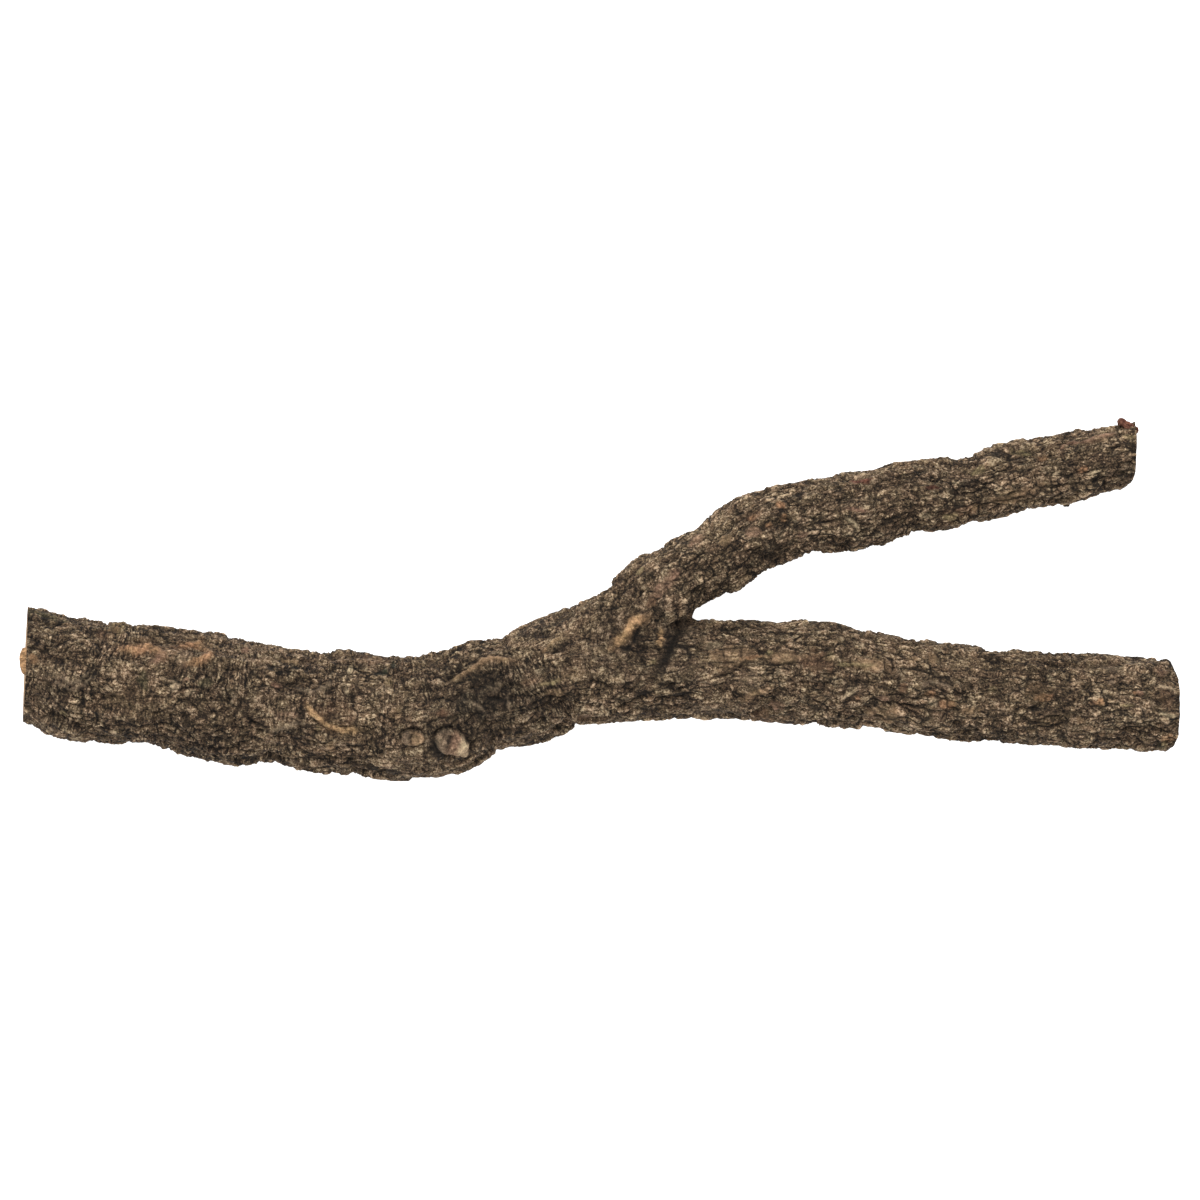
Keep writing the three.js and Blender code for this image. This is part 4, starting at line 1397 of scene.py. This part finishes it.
    def streaks(self, sheet: NodeSheet, place: Socket, size: tuple[float, float]) -> Socket:
        """A stretched noise about 0, for wrinkles across the stem and fibres along it."""
        noise = sheet.noise(self.scaled(sheet, place, size), 1.0, 2.0).outputs[0]
        return sheet.math("SUBTRACT", noise, 0.5)

    def scaled(self, sheet: NodeSheet, place: Socket, size: tuple[float, float]) -> Socket:
        """Measures a place on the straightened stem in steps of a length along it and a width round it."""
        length, width = size
        return sheet.vector("MULTIPLY", place, (1 / length, 1 / width, 1 / width)).outputs[0]

    def cells(self, sheet: NodeSheet, place: Socket, size: tuple[float, float]) -> dict[str, Socket]:
        """Splits the bark into cells.

        Args:
            sheet: The material's nodes.
            place: A place on the straightened stem.
            size: A cell's length along the stem and its width round it.

        Returns:
            The thin gap round each cell, how far a place is up the cell's rounded top, and a value for each
            cell.
        """
        inputs = {"Vector": self.scaled(sheet, place, size), "Scale": 1.0, "Randomness": 0.85}
        edge = sheet.add("ShaderNodeTexVoronoi", inputs, feature="DISTANCE_TO_EDGE").outputs[0]
        cell = sheet.add("ShaderNodeTexVoronoi", inputs).outputs["Color"]
        return {
            "gap": sheet.spread(edge, 0.03, 0.14, 1.0, 0.0),
            "top": sheet.spread(edge, 0.0, 0.4, 0.0, 1.0),
            "level": sheet.add("ShaderNodeSeparateColor", {0: cell}).outputs[0],
        }

    def patches(self, sheet: NodeSheet, place: Socket, scale: float, least: float, most: float) -> Socket:
        """A soft noise between two values, for what comes and goes over the bark."""
        return sheet.spread(sheet.noise(place, scale, 3.0).outputs[0], 0.4, 0.6, least, most)


@dataclass(frozen=True)
class SawnWood:
    """The finish of a saw cut: pale wood in rings, then a band of cork and the dark bark round it."""

    name: str
    centre: tuple[float, float, float]
    half: float
    heart: Colour = (176, 142, 100)
    late_wood: Colour = (142, 106, 70)
    cork: Colour = (128, 84, 56)
    bark: Colour = (66, 51, 38)
    dirt: Colour = (60, 44, 30)
    ring_pitch: float = 2.3
    grain: float = 0.0008
    relief: float = 0.0005
    roughness: float = 0.85

    def material(self) -> bpy.types.Material:
        """Builds the material, with its rings round the cut's centre."""
        material, sheet = empty_material(self.name)
        place = sheet.add("ShaderNodeTexCoord").outputs["Object"]
        to_centre = tuple(-c * MM for c in self.centre)
        inputs = {"Vector": place, "Location": to_centre}
        centred = sheet.add("ShaderNodeMapping", inputs, vector_type="POINT").outputs[0]
        parts = sheet.add("ShaderNodeSeparateXYZ", {0: centred}).outputs
        flat = sheet.add("ShaderNodeCombineXYZ", {1: parts[1], 2: parts[2]}).outputs[0]
        radius = sheet.vector("LENGTH", flat).outputs["Value"]
        wobble = sheet.weigh(-0.15, (sheet.noise(place, 45.0, 3.0).outputs[0], 0.3))
        share = sheet.math("ADD", sheet.math("DIVIDE", radius, self.half * MM), wobble)
        ring = sheet.math("FRACT", sheet.times(share, self.half / self.ring_pitch))
        wood = sheet.ramp(ring, (
            (0.0, self.late_wood), (0.16, self.heart), (0.75, self.heart), (1.0, self.late_wood),
        ))
        layers = sheet.spread(share, 0.76, 0.78, 0.0, 1.0)
        band = sheet.ramp(share, ((0.8, self.cork), (0.94, self.bark)))
        grain = GRAIN.put(sheet, place, self.grain).outputs
        colour = sheet.mix(layers, wood, band)
        colour = sheet.mix(sheet.times(grain["Speckle"], 0.5), colour, srgb(*self.dirt), "MULTIPLY")
        sheet.finish(colour, self.roughness, grain["Height"], 0.4, self.relief)
        return material


@dataclass(frozen=True)
class PaleFloor:
    """The finish of the studio floor: plain white paper that glows a little, so that shadows stay faint."""

    name: str = "pale_floor"
    paper: float = 0.5
    roughness: float = 0.95
    glow: float = 1.0

    def material(self) -> bpy.types.Material:
        """Builds the material."""
        material = bpy.data.materials.new(self.name)
        material.use_nodes = True
        skin = material.node_tree.nodes["Principled BSDF"]
        skin.inputs["Base Color"].default_value = (self.paper, self.paper, self.paper, 1.0)
        skin.inputs["Roughness"].default_value = self.roughness
        skin.inputs["Emission Color"].default_value = (1.0, 1.0, 1.0, 1.0)
        skin.inputs["Emission Strength"].default_value = self.glow
        return material


class CutKind(Enum):
    """What a flat face of a piece is."""

    WORN = 0
    SAWN = 1
    PARTING = 2


@dataclass(frozen=True)
class Cut:
    """A flat cut through the branch: a place on it, the way to the side that goes, and its kind."""

    place: Vector
    heading: Vector
    kind: CutKind


def plan_heading(degrees: float) -> Vector:
    """The direction in plan at an angle from +X."""
    angle = math.radians(degrees)
    return Vector((math.cos(angle), math.sin(angle), 0.0))


def outward_of(line: tuple[Vector, Vector], away_from: Vector, lean: float = 0.0) -> Vector:
    """The way that a saw cut faces.

    Args:
        line: The cut in plan.
        away_from: A place on the branch, which the cut faces away from.
        lean: How far the cut's top leans in, for each millimetre up.

    Returns:
        The cut's normal.
    """
    span = line[1] - line[0]
    normal = Vector((span.y, -span.x, 0.0)).normalized()
    if (away_from - line[0]).dot(normal) > 0:
        normal = -normal
    return Vector((normal.x, normal.y, lean)).normalized()


def finished_mesh(bm: bmesh.types.BMesh, name: str) -> bpy.types.Mesh:
    """Makes a mesh of what was built, and lets the workshop mesh go."""
    mesh = bpy.data.meshes.new(name)
    bm.to_mesh(mesh)
    bm.free()
    return mesh


def in_scene(name: str, data: bpy.types.ID) -> bpy.types.Object:
    """Makes an object of a mesh, a lamp or a camera, and puts it in the scene."""
    thing = bpy.data.objects.new(name, data)
    bpy.context.collection.objects.link(thing)
    return thing


def to_model(bm: bmesh.types.BMesh, place: tuple[float, float, float] = (0.0, 0.0, 0.0)) -> None:
    """Moves what was built, at a place in plan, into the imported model's frame in metres."""
    bmesh.ops.translate(bm, verts=bm.verts[:], vec=Vector(place) + PLAN_SHIFT)
    bmesh.ops.scale(bm, verts=bm.verts[:], vec=(MM, MM, MM))


def keep_masks(mesh: bpy.types.Mesh, surface: Surface, lie: Array) -> None:
    """Keeps the bark's masks on a mesh, for its material to read.

    Args:
        mesh: The mesh that takes them.
        surface: The bark's surface at each of its points.
        lie: Where each point lies on its straightened stem, in millimetres.
    """
    # one mask lightens high places as wear and painted highlight, another darkens fissures with painted shade
    for name in ("wear_and_highlight", "crack_shade", "calm", "wrinkled"):
        layer = mesh.attributes.new(name, "FLOAT", "POINT")
        layer.data.foreach_set("value", getattr(surface, name).astype(np.float32))
    layer = mesh.attributes.new("tint", "FLOAT_COLOR", "POINT")
    layer.data.foreach_set("color", surface.tint.astype(np.float32).ravel())
    layer = mesh.attributes.new("lie", "FLOAT_VECTOR", "POINT")
    layer.data.foreach_set("vector", (lie * MM).astype(np.float32).ravel())


def keep_in_box(mesh: bpy.types.Mesh) -> None:
    """Brings back the few points that pass the solids' box by a hair."""
    places = np.empty(len(mesh.vertices) * 3, np.float32)
    mesh.vertices.foreach_get("co", places)
    inside = np.clip(places.reshape(-1, 3), np.array(SOLID_BOX[0]), np.array(SOLID_BOX[1]))
    mesh.vertices.foreach_set("co", inside.astype(np.float32).ravel())


@dataclass
class BranchPiece:
    """One of the branch's three pieces: part of the whole form, with its saw cut and its parting.

    Each stem's span is from where to where along it the piece takes its tube. The voxel is the step of the
    piece's even mesh, in millimetres.
    """

    name: str
    node: str
    grows: StemLine
    stem_span: tuple[float, float]
    limb_span: tuple[float, float]
    cuts: tuple[Cut, ...]
    end_grain: SawnWood
    voxel: float = 0.8
    most_triangles: int = 190_000

    def build(self) -> bpy.types.Object:
        """Builds the piece's mesh, in metres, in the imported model's frame.

        Returns:
            The finished object.
        """
        rough = self.rough_form()
        mesh = self.fine_mesh(rough)
        positions = np.empty(len(mesh.vertices) * 3, np.float32)
        mesh.vertices.foreach_get("co", positions)
        smooth = FORM.settle(positions.reshape(-1, 3).astype(float))
        barked, surface = FORM.bark(smooth)
        mesh.vertices.foreach_set("co", barked.astype(np.float32).ravel())
        keep_masks(mesh, surface, self.grows.locate(barked).straightened())
        mesh = self.thinned(mesh)
        self.cut(mesh)
        mesh.update()
        return in_scene(self.name, mesh)

    def rough_form(self) -> bpy.types.Mesh:
        """The smooth tubes that the piece is cut from, not yet joined."""
        bm = bmesh.new()
        STEM.add_tube(bm, *self.stem_span)
        LIMB.add_tube(bm, *self.limb_span)
        bmesh.ops.recalc_face_normals(bm, faces=bm.faces[:])
        return finished_mesh(bm, self.name)

    def fine_mesh(self, rough: bpy.types.Mesh) -> bpy.types.Mesh:
        """Joins the tubes in one even mesh, fine enough for the bark.

        Args:
            rough: The tubes.

        Returns:
            One closed mesh.
        """
        helper = in_scene(self.name + "_rough", rough)
        remesh = helper.modifiers.new("even", "REMESH")
        remesh.mode = "VOXEL"
        remesh.voxel_size = self.voxel * 1.0
        return self.applied(helper)

    def applied(self, helper: bpy.types.Object) -> bpy.types.Mesh:
        """Gives a helper object's mesh with its modifiers applied, and removes the helper."""
        shown = helper.evaluated_get(bpy.context.evaluated_depsgraph_get())
        mesh = bpy.data.meshes.new_from_object(shown)
        bare = helper.data
        bpy.data.objects.remove(helper)
        bpy.data.meshes.remove(bare)
        mesh.name = self.name
        return mesh

    def thinned(self, mesh: bpy.types.Mesh) -> bpy.types.Mesh:
        """Takes triangles out where the bark is plainest, down to the most that the piece may have."""
        triangles = 2 * len(mesh.polygons)
        if triangles <= self.most_triangles:
            return mesh
        helper = in_scene(self.name + "_fine", mesh)
        thin = helper.modifiers.new("thin", "DECIMATE")
        thin.ratio = self.most_triangles / triangles
        return self.applied(helper)

    def cut(self, mesh: bpy.types.Mesh) -> None:
        """Makes the piece's flat cuts, closes them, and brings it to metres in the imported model's frame."""
        bm = bmesh.new()
        bm.from_mesh(mesh)
        for face in bm.faces:
            face.smooth = True
        for cut in self.cuts:
            geometry = bm.verts[:] + bm.edges[:] + bm.faces[:]
            opened = bmesh.ops.bisect_plane(
                bm, geom=geometry, dist=1e-4, plane_co=cut.place, plane_no=cut.heading, clear_outer=True
            )["geom_cut"]
            edges = [item for item in opened if isinstance(item, bmesh.types.BMEdge)]
            caps = bmesh.ops.holes_fill(bm, edges=edges, sides=0)["faces"]
            for cap in caps:
                cap.smooth = False
                cap.material_index = cut.kind.value
            for edge in edges:
                edge.smooth = False
        to_model(bm)
        bm.to_mesh(mesh)
        bm.free()
        keep_in_box(mesh)

    def dress(self, piece: bpy.types.Object, bark: bpy.types.Material) -> None:
        """Gives the piece its materials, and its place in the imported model.

        Args:
            piece: The finished object.
            bark: The bark's material.
        """
        piece.data.materials.append(bark)
        piece.data.materials.append(self.end_grain.material())
        piece.data.materials.append(bark)
        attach(piece, "root")
        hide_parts(self.node)


BELOW_BISECTOR = plan_heading(BISECTOR_HEADING - 90)

TRUNK = BranchPiece(
    name="trunk_bark",
    node="trunk",
    grows=STEM,
    stem_span=(0.0, 400.0),
    limb_span=(0.0, 110.0),
    cuts=(
        Cut(TRUNK_CUT[0], outward_of(TRUNK_CUT, CROTCH, TRUNK_CUT_LEAN), CutKind.SAWN),
        Cut(CROTCH, plan_heading(UPPER_LIMB_HEADING), CutKind.PARTING),
        Cut(CROTCH, plan_heading(LOWER_LIMB_HEADING), CutKind.PARTING)),
    end_grain=SawnWood("trunk_end_grain", centre=(-298.7, -34.0, 29.5), half=30.5),
    voxel=0.8,
)
UPPER_PIECE = BranchPiece(
    name="upper_limb_bark",
    node="upper_limb",
    grows=LIMB,
    stem_span=(320.0, 440.0),
    limb_span=(0.0, 400.0),
    cuts=(
        Cut(UPPER_CUT[0], outward_of(UPPER_CUT, CROTCH), CutKind.SAWN),
        Cut(Vector((278.2, 65.3, 0.0)), plan_heading(-18), CutKind.SAWN),
        Cut(Vector((276.5, 60.3, 0.0)), plan_heading(-57), CutKind.WORN),
        Cut(CROTCH, -plan_heading(UPPER_LIMB_HEADING), CutKind.PARTING),
        Cut(CROTCH, BELOW_BISECTOR, CutKind.PARTING)),
    end_grain=SawnWood("upper_limb_end_grain", centre=(278.6, 77.0, 16.2), half=17.2),
    voxel=0.6,
)
LOWER_PIECE = BranchPiece(
    name="lower_limb_bark",
    node="lower_limb",
    grows=STEM,
    stem_span=(340.0, 700.0),
    limb_span=(0.0, 110.0),
    cuts=(
        Cut(LOWER_CUT[0], outward_of(LOWER_CUT, CROTCH), CutKind.SAWN),
        Cut(Vector((299.6, -41.0, 0.0)), plan_heading(19), CutKind.SAWN),
        Cut(Vector((299.6, -69.5, 0.0)), plan_heading(-16), CutKind.SAWN),
        Cut(Vector((297.6, -76.3, 0.0)), plan_heading(-50), CutKind.WORN),
        Cut(CROTCH, -plan_heading(LOWER_LIMB_HEADING), CutKind.PARTING),
        Cut(CROTCH, -BELOW_BISECTOR, CutKind.PARTING)),
    end_grain=SawnWood("lower_limb_end_grain", centre=(299.6, -55.4, 23.5), half=24.4),
    voxel=0.65,
)


@dataclass(frozen=True)
class Chip:
    """A small loose piece on the branch, such as a flake of bark or a splinter of wood.

    Its relief is as high as ragged says, in millimetres. Its two ends are narrower than its middle by the
    taper's share.
    """

    name: str
    place: tuple[float, float, float]
    size: tuple[float, float, float]
    turn: float
    tint: Tint
    ragged: float = 0.6
    taper: float = 0.2
    grid_cuts: int = 9
    smooth_rounds: int = 3

    def build(self, bark: bpy.types.Material) -> bpy.types.Object:
        """Builds the chip from a cube, and gives it its finish.

        Args:
            bark: The bark's material, which takes the chip's tint.

        Returns:
            The finished object.
        """
        bm = bmesh.new()
        bmesh.ops.create_cube(bm, size=1.0)
        bmesh.ops.subdivide_edges(bm, edges=bm.edges[:], cuts=self.grid_cuts, use_grid_fill=True)
        for _ in range(self.smooth_rounds):
            bmesh.ops.smooth_vert(
                bm, verts=bm.verts[:], factor=0.5, use_axis_x=True, use_axis_y=True, use_axis_z=True
            )
        for vert in bm.verts:
            vert.co.x *= 1 - self.taper * (2 * vert.co.y) ** 2
        bmesh.ops.scale(bm, verts=bm.verts[:], vec=self.size)
        bm.normal_update()
        places = np.array([vert.co for vert in bm.verts])
        rough = layered_noise(places / 1.7 + self.place, 61, 3) - 0.5
        for vert, out in zip(bm.verts, rough):
            vert.co += vert.normal * float(2 * self.ragged * out)
        bmesh.ops.rotate(bm, verts=bm.verts[:], matrix=Matrix.Rotation(math.radians(self.turn), 3, "Z"))
        to_model(bm, self.place)
        for face in bm.faces:
            face.smooth = True
        mesh = finished_mesh(bm, self.name)
        none = np.zeros(len(places))
        tint = np.tile((*srgb(*self.tint.value)[:3], 0.85), (len(places), 1))
        # the chip is lighter where its relief stands high, as wear and painted highlight
        keep_masks(mesh, Surface(none, none, 0.4 + rough, none, tint, none + 0.8, none), places + self.place)
        keep_in_box(mesh)
        mesh.materials.append(bark)
        chip = in_scene(self.name, mesh)
        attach(chip, "root")
        return chip


CHIPS = (
    Chip("tip_flake", (275.4, 90.6, 20.0), (12.0, 4.0, 8.0), -33, Tint.RED, 0.9),
    Chip("saw_splinter", (-296.4, -31.6, 45.0), (6.6, 14.0, 5.0), 2, Tint.AMBER, 0.5, taper=0.5),
    Chip("limb_nub", (243.6, 50.6, 17.0), (3.4, 3.6, 3.4), 0, Tint.UMBER_AND_SHADE, 0.6),
    Chip("trunk_nub", (-90.4, -59.8, 60.2), (1.8, 2.2, 1.6), 20, Tint.CREAM, 0.3),
)


@dataclass(frozen=True)
class Studio:
    """The plain studio: a pale floor, even white light, two soft lamps and the camera."""

    floor_half: float = 3.0
    sky: float = 0.7
    sensor: float = 36.0
    sight: float = 20.0

    def build(self) -> None:
        """Builds the floor, the lights and the camera."""
        self.add_floor()
        self.add_sky()
        self.add_lamp("key_softbox", (-0.35, 1.15, 1.7), 1.5, 42.0)
        self.add_lamp("fill_softbox", (0.7, -1.3, 1.6), 1.8, 12.0)
        self.add_camera()

    def add_floor(self) -> None:
        """Lays the floor that the branch rests on."""
        bm = bmesh.new()
        bmesh.ops.create_grid(bm, x_segments=4, y_segments=4, size=self.floor_half)
        floor = in_scene("floor", finished_mesh(bm, "floor"))
        floor.data.materials.append(PaleFloor().material())

    def add_sky(self) -> None:
        """Surrounds the studio with even white light."""
        world = bpy.data.worlds.new("white_room")
        world.use_nodes = True
        background = world.node_tree.nodes["Background"]
        background.inputs["Color"].default_value = (1.0, 1.0, 1.0, 1.0)
        background.inputs["Strength"].default_value = self.sky
        bpy.context.scene.world = world

    def add_lamp(self, name: str, place: tuple[float, float, float], size: float, power: float) -> None:
        """Hangs a soft lamp that points at the branch's middle.

        Args:
            name: The lamp's name.
            place: Where it hangs, in metres.
            size: The side of its square face, in metres.
            power: Its power, in watts.
        """
        light = bpy.data.lights.new(name, "AREA")
        light.size = size
        light.energy = power
        lamp = in_scene(name, light)
        lamp.location = place
        lamp.rotation_euler = (-Vector(place)).to_track_quat("-Z", "Y").to_euler()

    def add_camera(self) -> None:
        """Hangs the camera straight over the branch, with the photograph's frame."""
        lens = bpy.data.cameras.new("camera")
        lens.sensor_width = self.sensor
        lens.lens = self.sensor * EYE_HEIGHT / FRAME_WIDTH
        lens.clip_end = self.sight
        camera = in_scene("camera", lens)
        camera.location = (PLAN_SHIFT.x * MM, PLAN_SHIFT.y * MM, (EYE_HEIGHT + MIDDLE_HEIGHT) * MM)
        bpy.context.scene.camera = camera
        bpy.context.scene.view_settings.view_transform = "Standard"


def main() -> None:
    """Builds the branch's pieces and the studio, and reports each piece."""
    logging.basicConfig(level=logging.INFO, format="%(name)s: %(message)s")
    bark = CorkBark().material()
    for part in (TRUNK, UPPER_PIECE, LOWER_PIECE):
        piece = part.build()
        part.dress(piece, bark)
        log.info("%s stands for %s: %d faces", piece.name, part.node, len(piece.data.polygons))
    for chip in CHIPS:
        piece = chip.build(bark)
        log.info("%s: %d faces", piece.name, len(piece.data.polygons))
    Studio().build()


if __name__ == "__main__":
    main()
